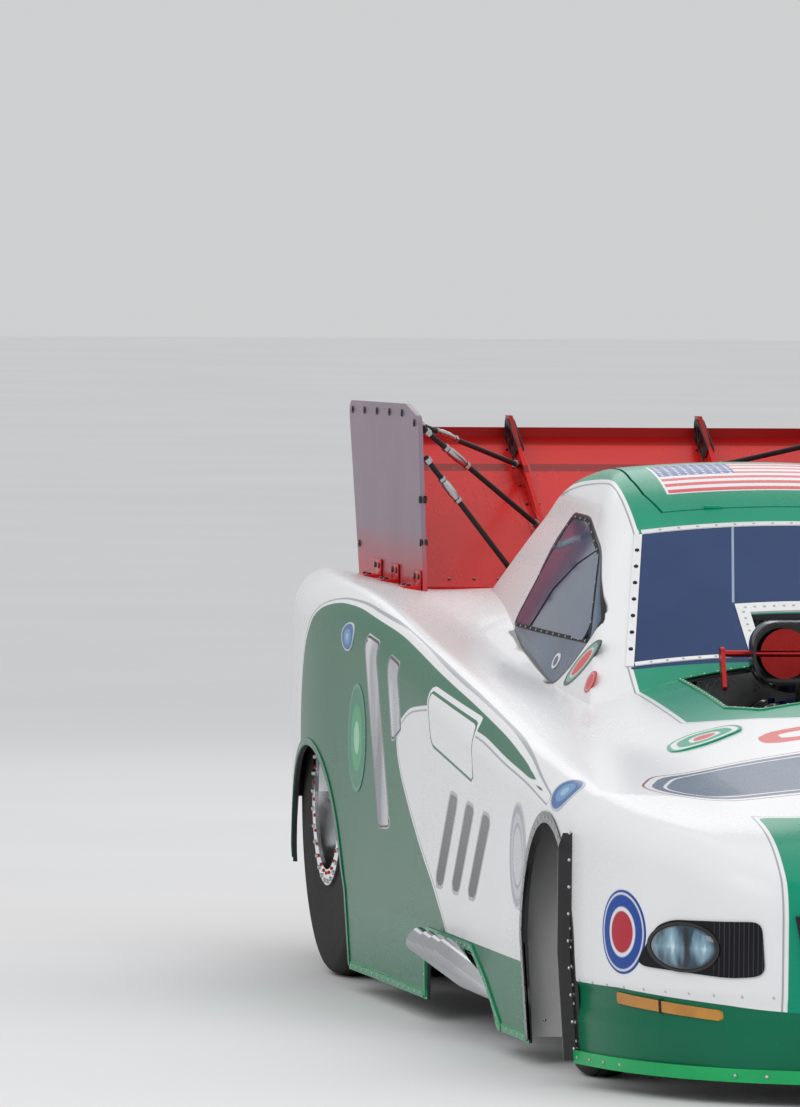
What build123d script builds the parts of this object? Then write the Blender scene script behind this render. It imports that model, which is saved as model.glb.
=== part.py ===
"""Nitro drag racing car with a one-piece tilting body, as an assembly of separate pieces.

X points to the car's left, Y to the rear, Z up, in millimetres. The ground is Z = 0
and the origin is under the middle of the car. Lengthwise places are given as "aft":
the distance behind the front axle.
"""

import os
from math import cos, radians, sin

from build123d import *

os.makedirs("parts", exist_ok=True)

# Stance
OVERALL_LENGTH = 5400
FRONT_OVERHANG = 965
WHEELBASE = 3175
SEAT = 0.3          # gap where one piece sits on another
RUNNING = 6.0       # gap round what moves

NOSE_Y = -OVERALL_LENGTH / 2
FRONT_AXLE_Y = NOSE_Y + FRONT_OVERHANG
REAR_AXLE_AFT = WHEELBASE

# Wheels
FRONT_TIRE_DIAMETER = 570
FRONT_TIRE_WIDTH = 120
FRONT_TIRE_X = 830
FRONT_RIM_RADIUS = 196
REAR_TIRE_DIAMETER = 914
REAR_TIRE_WIDTH = 436
REAR_TIRE_X = 724
REAR_RIM_RADIUS = 206
FRONT_AXLE_Z = FRONT_TIRE_DIAMETER / 2
REAR_AXLE_Z = REAR_TIRE_DIAMETER / 2

# Body shell
WALL = 12
SILL_Z = 52
FOLD_Z = 305
TUCK = 18
VALLEY_SHARE = 0.64
TAIL_AFT = 4100

# Hood opening, roof hatch and exhaust notch
HOOD_OPENING_AFT = 700
HOOD_OPENING_HALF = 380
HOOD_OPENING_END = 1368
SCOOP_NOTCH_HALF = 168
SCOOP_NOTCH_END = 1590
HATCH_AFT = 2010
HATCH_END = 2560
HATCH_HALF = 345
HATCH_PIVOT_AFT = HATCH_AFT + 5.6
HATCH_PIVOT_Z = 1231
NOTCH_TOP_Z = 215

# Cabin
CABIN_BASE_Z = 780
EAVE_Z = 1195
ROOF_SIDE_Z = 1312
ROOF_Z = 1330
CROWN_AXIS_Z = -1900
CROWN_TURN = 16
SCREEN_FOOT_AFT = 1250
SCREEN_TOP_AFT = 1930
SCREEN_TOP_Z = 1190
SCREEN_SLOPE = 0.587
ROOF_PEAK_AFT = 2460
FASTBACK_AFT = 3560
FASTBACK_Z = 955

# Tilt hinge
HINGE_AFT = 3900
HINGE_Z = 450
HINGE_PIN_RADIUS = 16
HINGE_ARM_X = 340
HINGE_ARM_THICK = 12

# Frame
TUBE = 19
RAIL_X = 310
LOWER_RAIL_Z = 100
AXLE_BEAM_RADIUS = 25
UPPER_RAIL_Z = FRONT_AXLE_Z + AXLE_BEAM_RADIUS + TUBE + SEAT
BRACE = 12
FRAME_NOSE_AFT = -660
FIREWALL_AFT = 1880
CAGE_FOOT_AFT = 1780
HOOP_AFT = 2640
HOOP_TOP_Z = 1222
CAGE_TOP_X = 235
PAN_THICK = 5
SEAT_FRONT = 2120
SEAT_REAR = 2560

# Engine
ENGINE_AFT = 1070
ENGINE_LENGTH = 570
CRANK_Z = 260
COVER_THICK = 70
PORT_Z = 435
PORT_X = 300
BLOWER_BASE_Z = 520
BLOWER_HEIGHT = 235
BLOWER_HALF = 148
SCOOP_BASE_Z = BLOWER_BASE_Z + BLOWER_HEIGHT
SCOOP_TOP_Z = 982
SCOOP_HALF = 228
SCOOP_AFT = 1265
SCOOP_LENGTH = 430
PIPE_RADIUS = 30
PIPE_WALL = 3

# Steering
KINGPIN_X = 728
KINGPIN_RADIUS = 13
KNUCKLE_HEIGHT = 90
STEERING_ARM = 150

# Rear spoiler
SPOILER_HALF = 640
SPOILER_AFT = 3600
SPOILER_BASE_Z = 972
SPOILER_TOP_Z = 1338
SPOILER_END_AFT = 4420
SPOILER_THICK = 18
PLATE_THICK = 12
FIN_X = 256


def aft(distance):
    """Y of a place that lies this far behind the front axle."""
    return FRONT_AXLE_Y + distance


def tube(start, end, radius=TUBE):
    """One straight round tube between two points."""
    first = Vector(*start)
    line = Vector(*end) - first
    with BuildPart() as piece:
        with BuildSketch(Plane(origin=first, z_dir=line)):
            Circle(radius)
        extrude(amount=line.length)
    return piece.part


def route(points, radius, bend):
    """A bent bar along a few points, with round bends."""
    with BuildPart() as piece:
        with BuildLine() as path:
            FilletPolyline(*points, radius=bend)
        with BuildSketch(Plane(origin=path.line @ 0, z_dir=path.line % 0)):
            Circle(radius)
        sweep(path=path.line)
    return piece.part


# Body stations: aft, half width, crest height, crest radius, valley height, crown height
BODY_STATIONS = (
    (-955, 430, 425, 70, 425, 448),
    (-900, 590, 478, 72, 480, 500),
    (-780, 750, 560, 78, 562, 585),
    (-560, 884, 620, 85, 618, 645),
    (-281, 960, 660, 90, 650, 692),
    (600, 966, 735, 92, 708, 820),
    (1400, 966, 833, 92, 770, 882),
    (2100, 972, 913, 95, 808, 905),
    (2750, 984, 987, 100, 895, 952),
    (3400, 980, 1006, 100, 958, 977),
    (TAIL_AFT, 872, 1003, 90, 952, 965),
)

# Cabin stations: aft, half width at the base, at the eave and at the roof's edge
CABIN_STATIONS = (
    (1230, 608, 436, 352),
    (2400, 612, 434, 350),
    (3580, 560, 340, 262),
)


def body_form(inset, parts=(BODY_STATIONS[:5], BODY_STATIONS[4:])):
    """The lower body as one closed form, its faces moved in by inset."""
    base = SILL_Z if inset < 1 else SILL_Z - 80
    with BuildPart() as form:
        for stations in parts:
            for place, half, crest, radius, valley, crown in stations:
                shift = inset if place < 0 else 0
                if place == TAIL_AFT:
                    shift = -inset
                side = half - inset
                top = crest - inset
                bend = radius - inset
                inner = side - bend
                slack = bend * (1 - cos(radians(45)))
                valley_x = VALLEY_SHARE * half
                dip = valley - inset
                with BuildSketch(Plane.XZ.offset(-aft(place + shift))):
                    with BuildLine():
                        Line((-side + TUCK, base), (side - TUCK, base))
                        for s in (1, -1):
                            Line((s * (side - TUCK), base), (s * side, FOLD_Z))
                            Line((s * side, FOLD_Z), (s * side, top - bend))
                            ThreePointArc(
                                (s * side, top - bend),
                                (s * (side - slack), top - slack),
                                (s * inner, top),
                            )
                            Line((s * inner, top), (s * valley_x, dip))
                        ThreePointArc((-valley_x, dip), (0, crown - inset), (valley_x, dip))
                    make_face()
            loft()
    return form.part


def cabin_form(inset):
    """The closed cabin: leaning sides, cut by a screen, roof and tail that are crowned across."""
    drop = 1.15 * inset
    low = CABIN_BASE_Z - 40
    turn = radians(CROWN_TURN)
    crown_plane = Plane(
        origin=(0, 0, CROWN_AXIS_Z), x_dir=(0, 1, 0), z_dir=(cos(turn), 0, sin(turn))
    )
    lift = drop + CROWN_AXIS_Z
    foot = (aft(SCREEN_FOOT_AFT), SCREEN_TOP_Z - (SCREEN_TOP_AFT - SCREEN_FOOT_AFT) * SCREEN_SLOPE - lift)
    screen_top = (aft(SCREEN_TOP_AFT), SCREEN_TOP_Z - lift)
    peak = (aft(ROOF_PEAK_AFT), ROOF_Z - lift)
    tail = (aft(FASTBACK_AFT), FASTBACK_Z - lift)
    with BuildPart() as form:
        for place, foot_half, eave_half, roof_half in CABIN_STATIONS:
            foot_x = foot_half - inset
            eave_x = eave_half - inset
            roof_x = roof_half - inset
            brow_x = 0.42 * roof_x + 0.58 * eave_x + 10
            brow_z = 0.45 * EAVE_Z + 0.55 * ROOF_SIDE_Z
            with BuildSketch(Plane.XZ.offset(-aft(place))):
                with BuildLine():
                    Line((-foot_x, CABIN_BASE_Z), (foot_x, CABIN_BASE_Z))
                    for s in (1, -1):
                        Line((s * foot_x, CABIN_BASE_Z), (s * eave_x, EAVE_Z))
                        ThreePointArc(
                            (s * eave_x, EAVE_Z), (s * brow_x, brow_z), (s * roof_x, ROOF_SIDE_Z)
                        )
                        Line((s * roof_x, ROOF_SIDE_Z), (s * (roof_x - 30), ROOF_Z + 60))
                    Line((30 - roof_x, ROOF_Z + 60), (roof_x - 30, ROOF_Z + 60))
                make_face()
        loft()
        with BuildSketch(crown_plane):
            with BuildLine():
                Polyline((tail[0], low - CROWN_AXIS_Z), (foot[0], low - CROWN_AXIS_Z), foot, screen_top)
                TangentArc(screen_top, peak, tangent=(1, SCREEN_SLOPE))
                TangentArc(peak, tail, tangent=(1, 0))
                Line(tail, (tail[0], low - CROWN_AXIS_Z))
            make_face()
        revolve(
            axis=Axis((0, 0, CROWN_AXIS_Z), (0, 1, 0)),
            revolution_arc=2 * CROWN_TURN,
            mode=Mode.INTERSECT,
        )
    return form.part


def plan_cutter(points, low, high):
    """Straight-sided cutter over an outline seen from above, given as x and aft."""
    with BuildPart() as cutter:
        with BuildSketch(Plane.XY.offset(low)):
            with BuildLine():
                Polyline(*[(x, aft(place)) for x, place in points], close=True)
            make_face()
        extrude(amount=high - low)
    return cutter.part


def side_cutter(points, half, round_to=0, near=0):
    """Cutter across the car over an outline seen from the side, given as aft and z."""
    with BuildPart() as cutter:
        with BuildSketch(Plane.YZ):
            with BuildLine():
                Polyline(*[(aft(place), z) for place, z in points], close=True)
            make_face()
            if round_to:
                fillet(vertices(), radius=round_to)
        extrude(amount=half, both=True)
        if near:
            with Locations((0, 0, 1000)):
                Box(2 * near, 9000, 3000, mode=Mode.SUBTRACT)
    return cutter.part


def both_sides(points):
    """A half outline given as x and aft, mirrored into a whole one."""
    return list(points) + [(-x, place) for x, place in reversed(points)]


def arch_cutter(axle_aft, axle_z, half_width, top_z, reach):
    """Wheel opening: upright legs under a low arc."""
    with BuildPart() as cutter:
        with BuildSketch(Plane.YZ):
            with BuildLine():
                y = aft(axle_aft)
                left, right = y - half_width, y + half_width
                Polyline((left, axle_z), (left, -20), (right, -20), (right, axle_z))
                ThreePointArc((left, axle_z), (y, top_z), (right, axle_z))
            make_face()
        extrude(amount=reach, both=True)
    return cutter.part


# Window outlines
SCREEN_GLASS = both_sides(((SCOOP_NOTCH_HALF + 26, 1412), (492, 1440), (380, 1935)))
SCREEN_GLASS_NOTCH = both_sides(((SCOOP_NOTCH_HALF + 26, 1380), (SCOOP_NOTCH_HALF + 26, SCOOP_NOTCH_END + 30)))
SIDE_GLASS = (
    (1640, 918),
    (1950, 1118),
    (2270, 1190),
    (2540, 1192),
    (2640, 1110),
    (2740, 915),
)
HATCH_OUTLINE = both_sides(
    (
        (HATCH_HALF - 35, HATCH_AFT),
        (HATCH_HALF - 8, HATCH_AFT + 110),
        (HATCH_HALF, HATCH_AFT + 240),
        (HATCH_HALF - 10, HATCH_END),
    )
)
HOOD_OUTLINE = both_sides(
    (
        (HOOD_OPENING_HALF - 60, HOOD_OPENING_AFT),
        (HOOD_OPENING_HALF, HOOD_OPENING_AFT + 120),
        (HOOD_OPENING_HALF, HOOD_OPENING_END),
        (SCOOP_HALF - 6, HOOD_OPENING_END),
        (SCOOP_NOTCH_HALF + 30, 1396),
        (SCOOP_NOTCH_HALF, 1440),
        (SCOOP_NOTCH_HALF, SCOOP_NOTCH_END),
    )
)

outer_body = body_form(0)
inner_body = body_form(WALL)
outer_cabin = cabin_form(0)
inner_cabin = cabin_form(WALL)
body_skin = body_form(-SEAT)
cabin_skin = cabin_form(-SEAT)

# Body shell
screen_cutter = plan_cutter(SCREEN_GLASS, 860, 1400)
notch_keep = plan_cutter(SCREEN_GLASS_NOTCH, 860, 1400)
side_window_cutter = side_cutter(SIDE_GLASS, 625, round_to=28, near=300)
hatch_cutter = plan_cutter(HATCH_OUTLINE, 1170, 1500)
exhaust_notch = ((630, 0), (806, 148), (968, NOTCH_TOP_Z), (1570, NOTCH_TOP_Z), (1650, 0))
tail_cut = ((3600, 0), (3600, 240), (3690, 262), (3860, 330), (4140, 420), (4140, 0))
with BuildPart() as tail_opening:
    with Locations((0, aft(TAIL_AFT), 560)):
        Box(1380, 200, 560)
with BuildPart() as body_shell:
    add([outer_body, outer_cabin])
    add([inner_body, inner_cabin], mode=Mode.SUBTRACT)
    cutters = [
        plan_cutter(HOOD_OUTLINE, 640, 1400),
        screen_cutter - notch_keep,
        side_window_cutter,
        hatch_cutter,
        arch_cutter(0, FRONT_AXLE_Z, 283, 578, 1200),
        arch_cutter(REAR_AXLE_AFT, 250, 500, 585, 1200),
        side_cutter(exhaust_notch, 1200, near=700),
        side_cutter(tail_cut, 1200),
        tail_opening.part,
    ]
    add(cutters, mode=Mode.SUBTRACT)
body_shell.part.label = "body_shell"
export_step(body_shell.part, "parts/body_shell.step")

# Windscreen, in its opening
with BuildPart() as windscreen:
    add(outer_cabin)
    add(inner_cabin, mode=Mode.SUBTRACT)
    add(outer_body, mode=Mode.SUBTRACT)
    add(screen_cutter - notch_keep, mode=Mode.INTERSECT)
windscreen.part.label = "windscreen"
export_step(windscreen.part, "parts/windscreen.step")

# Side windows, one on each side
with BuildPart() as side_windows:
    add(outer_cabin)
    add(inner_cabin, mode=Mode.SUBTRACT)
    add(side_window_cutter, mode=Mode.INTERSECT)
side_windows.part.label = "side_windows"
export_step(side_windows.part, "parts/side_windows.step")

# Roof hatch, hinged at its front edge
with BuildPart() as roof_hatch:
    add(outer_cabin)
    add(inner_cabin, mode=Mode.SUBTRACT)
    with BuildSketch(Plane.XY.offset(1170)):
        with BuildLine():
            Polyline(*[(x, aft(place)) for x, place in HATCH_OUTLINE], close=True)
        make_face()
        offset(amount=-RUNNING, mode=Mode.REPLACE)
        with Locations((-180, aft(HATCH_AFT) + SEAT), (180, aft(HATCH_AFT) + SEAT)):
            Rectangle(44, 20, align=(Align.CENTER, Align.MIN))
    extrude(amount=300, mode=Mode.INTERSECT)
    for x in (-180, 180):
        barrel = ((x - 22, aft(HATCH_PIVOT_AFT), HATCH_PIVOT_Z), (x + 22, aft(HATCH_PIVOT_AFT), HATCH_PIVOT_Z))
        add(tube(*barrel, 5.3))
roof_hatch.part.label = "roof_hatch"
export_step(roof_hatch.part, "parts/roof_hatch.step")

# Screen notch frame, a flat surround over the injector's notch
with BuildPart() as screen_frame:
    add(cabin_form(-SEAT - 4))
    add(cabin_skin, mode=Mode.SUBTRACT)
    frame_out = both_sides(((SCOOP_NOTCH_HALF + 34, 1436), (SCOOP_NOTCH_HALF + 34, SCOOP_NOTCH_END + 38)))
    frame_in = both_sides(((SCOOP_NOTCH_HALF + 2, 1300), (SCOOP_NOTCH_HALF + 2, SCOOP_NOTCH_END + 4)))
    add(plan_cutter(frame_out, 860, 1400), mode=Mode.INTERSECT)
    add(plan_cutter(frame_in, 800, 1400), mode=Mode.SUBTRACT)
    add(body_skin, mode=Mode.SUBTRACT)
screen_frame.part.label = "screen_frame"
export_step(screen_frame.part, "parts/screen_frame.step")

# Rear spoiler: one long sloping panel with an upright lip, and two tall fins that stand on it
spoiler_slope = (SPOILER_TOP_Z - SPOILER_BASE_Z) / (SPOILER_END_AFT - SPOILER_AFT)


def panel_z(place):
    """Height of the spoiler's upper face."""
    return SPOILER_BASE_Z + spoiler_slope * (place - SPOILER_AFT)


with BuildPart() as rear_spoiler:
    with BuildSketch(Plane.YZ):
        with BuildLine():
            Polyline(
                (aft(SPOILER_AFT), SPOILER_BASE_Z - 60),
                (aft(SPOILER_AFT), SPOILER_BASE_Z),
                (aft(SPOILER_END_AFT - 8), SPOILER_TOP_Z),
                (aft(SPOILER_END_AFT - 8), SPOILER_TOP_Z + 26),
                (aft(SPOILER_END_AFT), SPOILER_TOP_Z + 26),
                (aft(SPOILER_END_AFT), SPOILER_TOP_Z - SPOILER_THICK),
                (aft(SPOILER_AFT + 160), SPOILER_BASE_Z - 60),
                close=True,
            )
        make_face()
    extrude(amount=SPOILER_HALF + 60, both=True)
    plate_line = ((SPOILER_HALF - 7, SPOILER_AFT - 200), (SPOILER_HALF + 35, SPOILER_AFT + 1000))
    add(plan_cutter(both_sides(plate_line), 800, 1500), mode=Mode.INTERSECT)
    for s in (1, -1):
        with BuildSketch(Plane.YZ.offset(s * FIN_X)):
            with BuildLine():
                Polyline(
                    (aft(SPOILER_AFT + 90), panel_z(SPOILER_AFT + 90) - 2),
                    (aft(SPOILER_END_AFT - 40), SPOILER_TOP_Z + 58),
                    (aft(SPOILER_END_AFT), SPOILER_TOP_Z + 58),
                    (aft(SPOILER_END_AFT), SPOILER_TOP_Z - 4),
                    close=True,
                )
            make_face()
        extrude(amount=6, both=True)
    add(body_skin, mode=Mode.SUBTRACT)
    add(cabin_skin, mode=Mode.SUBTRACT)
rear_spoiler.part.label = "rear_spoiler"
export_step(rear_spoiler.part, "parts/rear_spoiler.step")

# End plates of the spoiler, further apart at the rear; outline as aft and z
PLATE_OUTLINE = ((3450, 900), (3545, 1412), (3700, 1442), (4435, 1434), (4250, 900))
PLATE_TOE = 0.035
with BuildPart() as spoiler_end_plates:
    for s in (1, -1):
        near_x = s * (SPOILER_HALF + SEAT - PLATE_TOE * (SPOILER_AFT - 3450))
        plate_plane = Plane(origin=(near_x, aft(3450), 0), x_dir=(s * PLATE_TOE, 1, 0), z_dir=(1, -s * PLATE_TOE, 0))
        with BuildSketch(plate_plane):
            with BuildLine():
                Polyline(*[(place - 3450, z) for place, z in PLATE_OUTLINE], close=True)
            make_face()
            fillet(vertices().group_by(Axis.Z)[-1], radius=30)
        extrude(amount=s * PLATE_THICK)
    add(body_skin, mode=Mode.SUBTRACT)
spoiler_end_plates.part.label = "spoiler_end_plates"
export_step(spoiler_end_plates.part, "parts/spoiler_end_plates.step")

# Stays from the end plates to the fins and the panel: place on the plate, place at the other end and its normal
STAY_RADIUS = 7
FIN_FACE = FIN_X + 6
PANEL_NORMAL = Vector(0, -spoiler_slope, 1).normalized()
STAYS = (
    (3560, 1385, (FIN_FACE, 3900, 1116), Vector(1, 0, 0)),
    (3530, 1315, (372, 3668, panel_z(3668)), PANEL_NORMAL),
    (3640, 1395, (FIN_FACE, 4200, 1268), Vector(1, 0, 0)),
)


def off_face(line, normal):
    """Distance along a stay at which its square end stands just off a face."""
    straight = abs(line.dot(normal))
    return (STAY_RADIUS * (1 - straight**2) ** 0.5 + SEAT) / straight


with BuildPart() as spoiler_stays:
    for s in (1, -1):
        for plate_aft, plate_z, (end_x, end_aft, end_z), normal in STAYS:
            plate_x = SPOILER_HALF + PLATE_TOE * (plate_aft - SPOILER_AFT)
            start = Vector(s * plate_x, aft(plate_aft), plate_z)
            end = Vector(s * end_x, aft(end_aft), end_z)
            line = (end - start).normalized()
            plate_normal = Vector(1, -s * PLATE_TOE, 0).normalized()
            add(tube(start + line * off_face(line, plate_normal), end - line * off_face(line, normal), STAY_RADIUS))
spoiler_stays.part.label = "spoiler_stays"
export_step(spoiler_stays.part, "parts/spoiler_stays.step")


def nose_cutter(outlines, reach_aft):
    """Straight cutter through the nose over outlines seen from the front."""
    with BuildPart() as cutter:
        with BuildSketch(Plane.XZ.offset(-NOSE_Y + 50)):
            for outline in outlines:
                with BuildLine():
                    Polyline(*outline, close=True)
                make_face()
        extrude(amount=-(reach_aft + FRONT_OVERHANG + 50))
    return cutter.part


# Thin panels on the nose
LAMP_RAISED = 3
TRIM_RAISED = 8
nose_stations = (BODY_STATIONS[:5],)
lamp_skin = body_form(-SEAT - LAMP_RAISED, nose_stations)
trim_skin = body_form(-SEAT - TRIM_RAISED, nose_stations)

# Headlamp panels, x and z seen from the front
LAMP_OUTLINE = ((868, 296), (832, 388), (806, 404), (640, 410), (632, 290), (700, 282))
lamp_outlines = [[(s * x, z) for x, z in LAMP_OUTLINE] for s in (1, -1)]
with BuildPart() as headlamps:
    add(lamp_skin)
    add(body_skin, mode=Mode.SUBTRACT)
    add(nose_cutter(lamp_outlines, -420), mode=Mode.INTERSECT)
headlamps.part.label = "headlamps"
export_step(headlamps.part, "parts/headlamps.step")

# Grille: a raised surround with slats between its openings
GRILLE_HALF = 572
GRILLE_LOW = 250
GRILLE_HIGH = 424
GRILLE_EDGE = 14
GRILLE_SLATS = 6
SLAT_THICK = 8
grille_outline = (
    (-GRILLE_HALF, GRILLE_HIGH),
    (GRILLE_HALF, GRILLE_HIGH),
    (GRILLE_HALF - 32, GRILLE_LOW),
    (32 - GRILLE_HALF, GRILLE_LOW),
)
slat_step = (GRILLE_HIGH - GRILLE_LOW - 2 * GRILLE_EDGE + SLAT_THICK) / (GRILLE_SLATS + 1)
slot_outlines = []
for slot in range(GRILLE_SLATS + 1):
    slot_low = GRILLE_LOW + GRILLE_EDGE + slot * slat_step
    slot_high = slot_low + slat_step - SLAT_THICK
    slot_half = GRILLE_HALF - 3 * GRILLE_EDGE
    slot_outlines.append(
        ((-slot_half, slot_low), (-slot_half, slot_high), (slot_half, slot_high), (slot_half, slot_low))
    )
with BuildPart() as grille_slots:
    add(nose_cutter(slot_outlines, -700))
    add(lamp_skin, mode=Mode.SUBTRACT)
with BuildPart() as grille:
    add(trim_skin)
    add(body_skin, mode=Mode.SUBTRACT)
    add(nose_cutter([grille_outline], -700), mode=Mode.INTERSECT)
    add(grille_slots.part, mode=Mode.SUBTRACT)
grille.part.label = "grille"
export_step(grille.part, "parts/grille.step")

# Front lip round the foot of the nose
LIP_HIGH = 30
with BuildPart() as front_lip:
    add(trim_skin)
    add(body_skin, mode=Mode.SUBTRACT)
    with Locations((0, aft(-281) - 500, SILL_Z + LIP_HIGH / 2)):
        Box(2400, 1000, LIP_HIGH, mode=Mode.INTERSECT)
front_lip.part.label = "front_lip"
export_step(front_lip.part, "parts/front_lip.step")

# Arms that carry the body on its tilt hinge
with BuildPart() as hinge_arms:
    for s in (1, -1):
        with BuildSketch(Plane.YZ.offset(s * HINGE_ARM_X)):
            with Locations((aft(HINGE_AFT), HINGE_Z)):
                Circle(HINGE_PIN_RADIUS + 18)
            with Locations((aft(HINGE_AFT - 40), 935), (aft(HINGE_AFT + 110), 935)):
                Circle(26)
            make_hull()
            with Locations((aft(HINGE_AFT), HINGE_Z)):
                Circle(HINGE_PIN_RADIUS + SEAT, mode=Mode.SUBTRACT)
        extrude(amount=HINGE_ARM_THICK / 2, both=True)
    add(inner_body, mode=Mode.INTERSECT)
hinge_arms.part.label = "hinge_arms"
export_step(hinge_arms.part, "parts/hinge_arms.step")

# Side frames: bays between uprights, then the tail that carries the axle and the hinge tube
UPRIGHTS = (FRAME_NOSE_AFT, -200, 300, 850, 1310, FIREWALL_AFT, 2250, HOOP_AFT)
PLATE_FRONT = REAR_AXLE_AFT - 70
PLATE_REAR = REAR_AXLE_AFT + 190
AXLE_TUBE_RADIUS = 45
HINGE_BOSS = 18
with BuildPart() as side_frames:
    members = []
    for s in (1, -1):
        x = s * RAIL_X
        for level in (LOWER_RAIL_Z, UPPER_RAIL_Z):
            members.append(tube((x, aft(FRAME_NOSE_AFT), level), (x, aft(HOOP_AFT), level)))
        for place in UPRIGHTS:
            members.append(tube((x, aft(place), LOWER_RAIL_Z), (x, aft(place), UPPER_RAIL_Z), BRACE + 2))
        for bay, (front, rear) in enumerate(zip(UPRIGHTS, UPRIGHTS[1:])):
            levels = (LOWER_RAIL_Z, UPPER_RAIL_Z) if bay % 2 == 0 else (UPPER_RAIL_Z, LOWER_RAIL_Z)
            members.append(tube((x, aft(front), levels[0]), (x, aft(rear), levels[1]), BRACE))
        members.append(tube((x, aft(HOOP_AFT), UPPER_RAIL_Z), (x, aft(HINGE_AFT), HINGE_Z)))
        members.append(tube((x, aft(HOOP_AFT), LOWER_RAIL_Z), (x, aft(PLATE_FRONT + 40), 300)))
        boss = ((x - HINGE_BOSS, aft(HINGE_AFT), HINGE_Z), (x + HINGE_BOSS, aft(HINGE_AFT), HINGE_Z))
        members.append(tube(*boss, HINGE_PIN_RADIUS + 9))
    add(members)
    for s in (1, -1):
        with BuildSketch(Plane.YZ.offset(s * RAIL_X)):
            with BuildLine():
                Polyline(
                    (aft(PLATE_FRONT), 270),
                    (aft(PLATE_FRONT), 470),
                    (aft(REAR_AXLE_AFT - 20), 520),
                    (aft(REAR_AXLE_AFT + 60), 500),
                    (aft(PLATE_REAR), 280),
                    (aft(PLATE_REAR), 215),
                    (aft(PLATE_REAR - 70), 215),
                    close=True,
                )
            make_face()
            with Locations((aft(REAR_AXLE_AFT), REAR_AXLE_Z)):
                Circle(AXLE_TUBE_RADIUS + SEAT, mode=Mode.SUBTRACT)
        extrude(amount=8, both=True)
    with Locations((0, aft(HINGE_AFT), HINGE_Z)):
        Cylinder(HINGE_PIN_RADIUS + SEAT, 1200, rotation=(0, 90, 0), mode=Mode.SUBTRACT)
side_frames.part.label = "side_frames"
export_step(side_frames.part, "parts/side_frames.step")

# Cross tubes between the side frames, the hinge tube and the towing eye
LOWER_CROSSES = (FRAME_NOSE_AFT, -560, -300, 300, 850, FIREWALL_AFT, 2250, HOOP_AFT)
UPPER_CROSSES = (FRAME_NOSE_AFT, -200, 300, 850, SEAT_FRONT + 60, SEAT_REAR - 120)
TOW_EYE_AFT = FRAME_NOSE_AFT - 48
CROSS_HALF = RAIL_X - TUBE - SEAT
PLATE_GAP_HALF = RAIL_X - 8 - SEAT
HINGE_TUBE_HALF = HINGE_ARM_X + HINGE_ARM_THICK
crosses = [(CROSS_HALF, place, LOWER_RAIL_Z, BRACE + 2) for place in LOWER_CROSSES]
crosses += [(CROSS_HALF, place, UPPER_RAIL_Z, BRACE + 2) for place in UPPER_CROSSES]
crosses += [(PLATE_GAP_HALF, PLATE_REAR - 25, 240, TUBE), (HINGE_TUBE_HALF, HINGE_AFT, HINGE_Z, HINGE_PIN_RADIUS)]
with BuildPart() as cross_tubes:
    for half, place, level, radius in crosses:
        add(tube((-half, aft(place), level), (half, aft(place), level), radius))
    with BuildSketch(Plane.YZ):
        with Locations((aft(FRAME_NOSE_AFT), LOWER_RAIL_Z)):
            Circle(28)
        with Locations((aft(TOW_EYE_AFT), LOWER_RAIL_Z)):
            Circle(24)
        make_hull()
        with Locations((aft(TOW_EYE_AFT), LOWER_RAIL_Z)):
            Circle(13, mode=Mode.SUBTRACT)
    extrude(amount=6, both=True)
cross_tubes.part.label = "cross_tubes"
export_step(cross_tubes.part, "parts/cross_tubes.step")

# Roll cage over the driver
leg_z = UPPER_RAIL_Z + TUBE + SEAT
hoop_y = aft(HOOP_AFT)
hoop_path = (
    (-RAIL_X, hoop_y, leg_z),
    (-RAIL_X, hoop_y, 820),
    (-CAGE_TOP_X, hoop_y - 40, HOOP_TOP_Z),
    (CAGE_TOP_X, hoop_y - 40, HOOP_TOP_Z),
    (RAIL_X, hoop_y, 820),
    (RAIL_X, hoop_y, leg_z),
)
cage_tubes = [route(hoop_path, TUBE, 70)]
for s in (1, -1):
    front_path = (
        (s * RAIL_X, aft(CAGE_FOOT_AFT), leg_z + 5),
        (s * (RAIL_X - 15), aft(CAGE_FOOT_AFT + 60), 600),
        (s * CAGE_TOP_X, aft(2150), HOOP_TOP_Z - 22),
        (s * CAGE_TOP_X, hoop_y - 45, HOOP_TOP_Z - 2),
    )
    cage_tubes.append(route(front_path, TUBE, 80))
    cage_tubes.append(tube((s * (RAIL_X - 12), hoop_y - 8, 900), (s * RAIL_X, aft(3780), 477), TUBE - 3))
    cage_tubes.append(tube((s * (RAIL_X - 13), aft(CAGE_FOOT_AFT + 63), 610), (s * RAIL_X, hoop_y, 610), TUBE - 4))
cage_tubes.append(tube((-CAGE_TOP_X, aft(2156), HOOP_TOP_Z - 24), (CAGE_TOP_X, aft(2156), HOOP_TOP_Z - 24), TUBE - 4))
cage_tubes.append(tube((-RAIL_X, hoop_y - 1, 790), (RAIL_X, hoop_y - 1, 790), TUBE - 4))
with BuildPart() as roll_cage:
    add(cage_tubes)
    for s in (1, -1):
        tail_tube = ((s * RAIL_X, hoop_y, UPPER_RAIL_Z), (s * RAIL_X, aft(HINGE_AFT), HINGE_Z))
        add(tube(*tail_tube, TUBE + SEAT), mode=Mode.SUBTRACT)
roll_cage.part.label = "roll_cage"
export_step(roll_cage.part, "parts/roll_cage.step")

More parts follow.
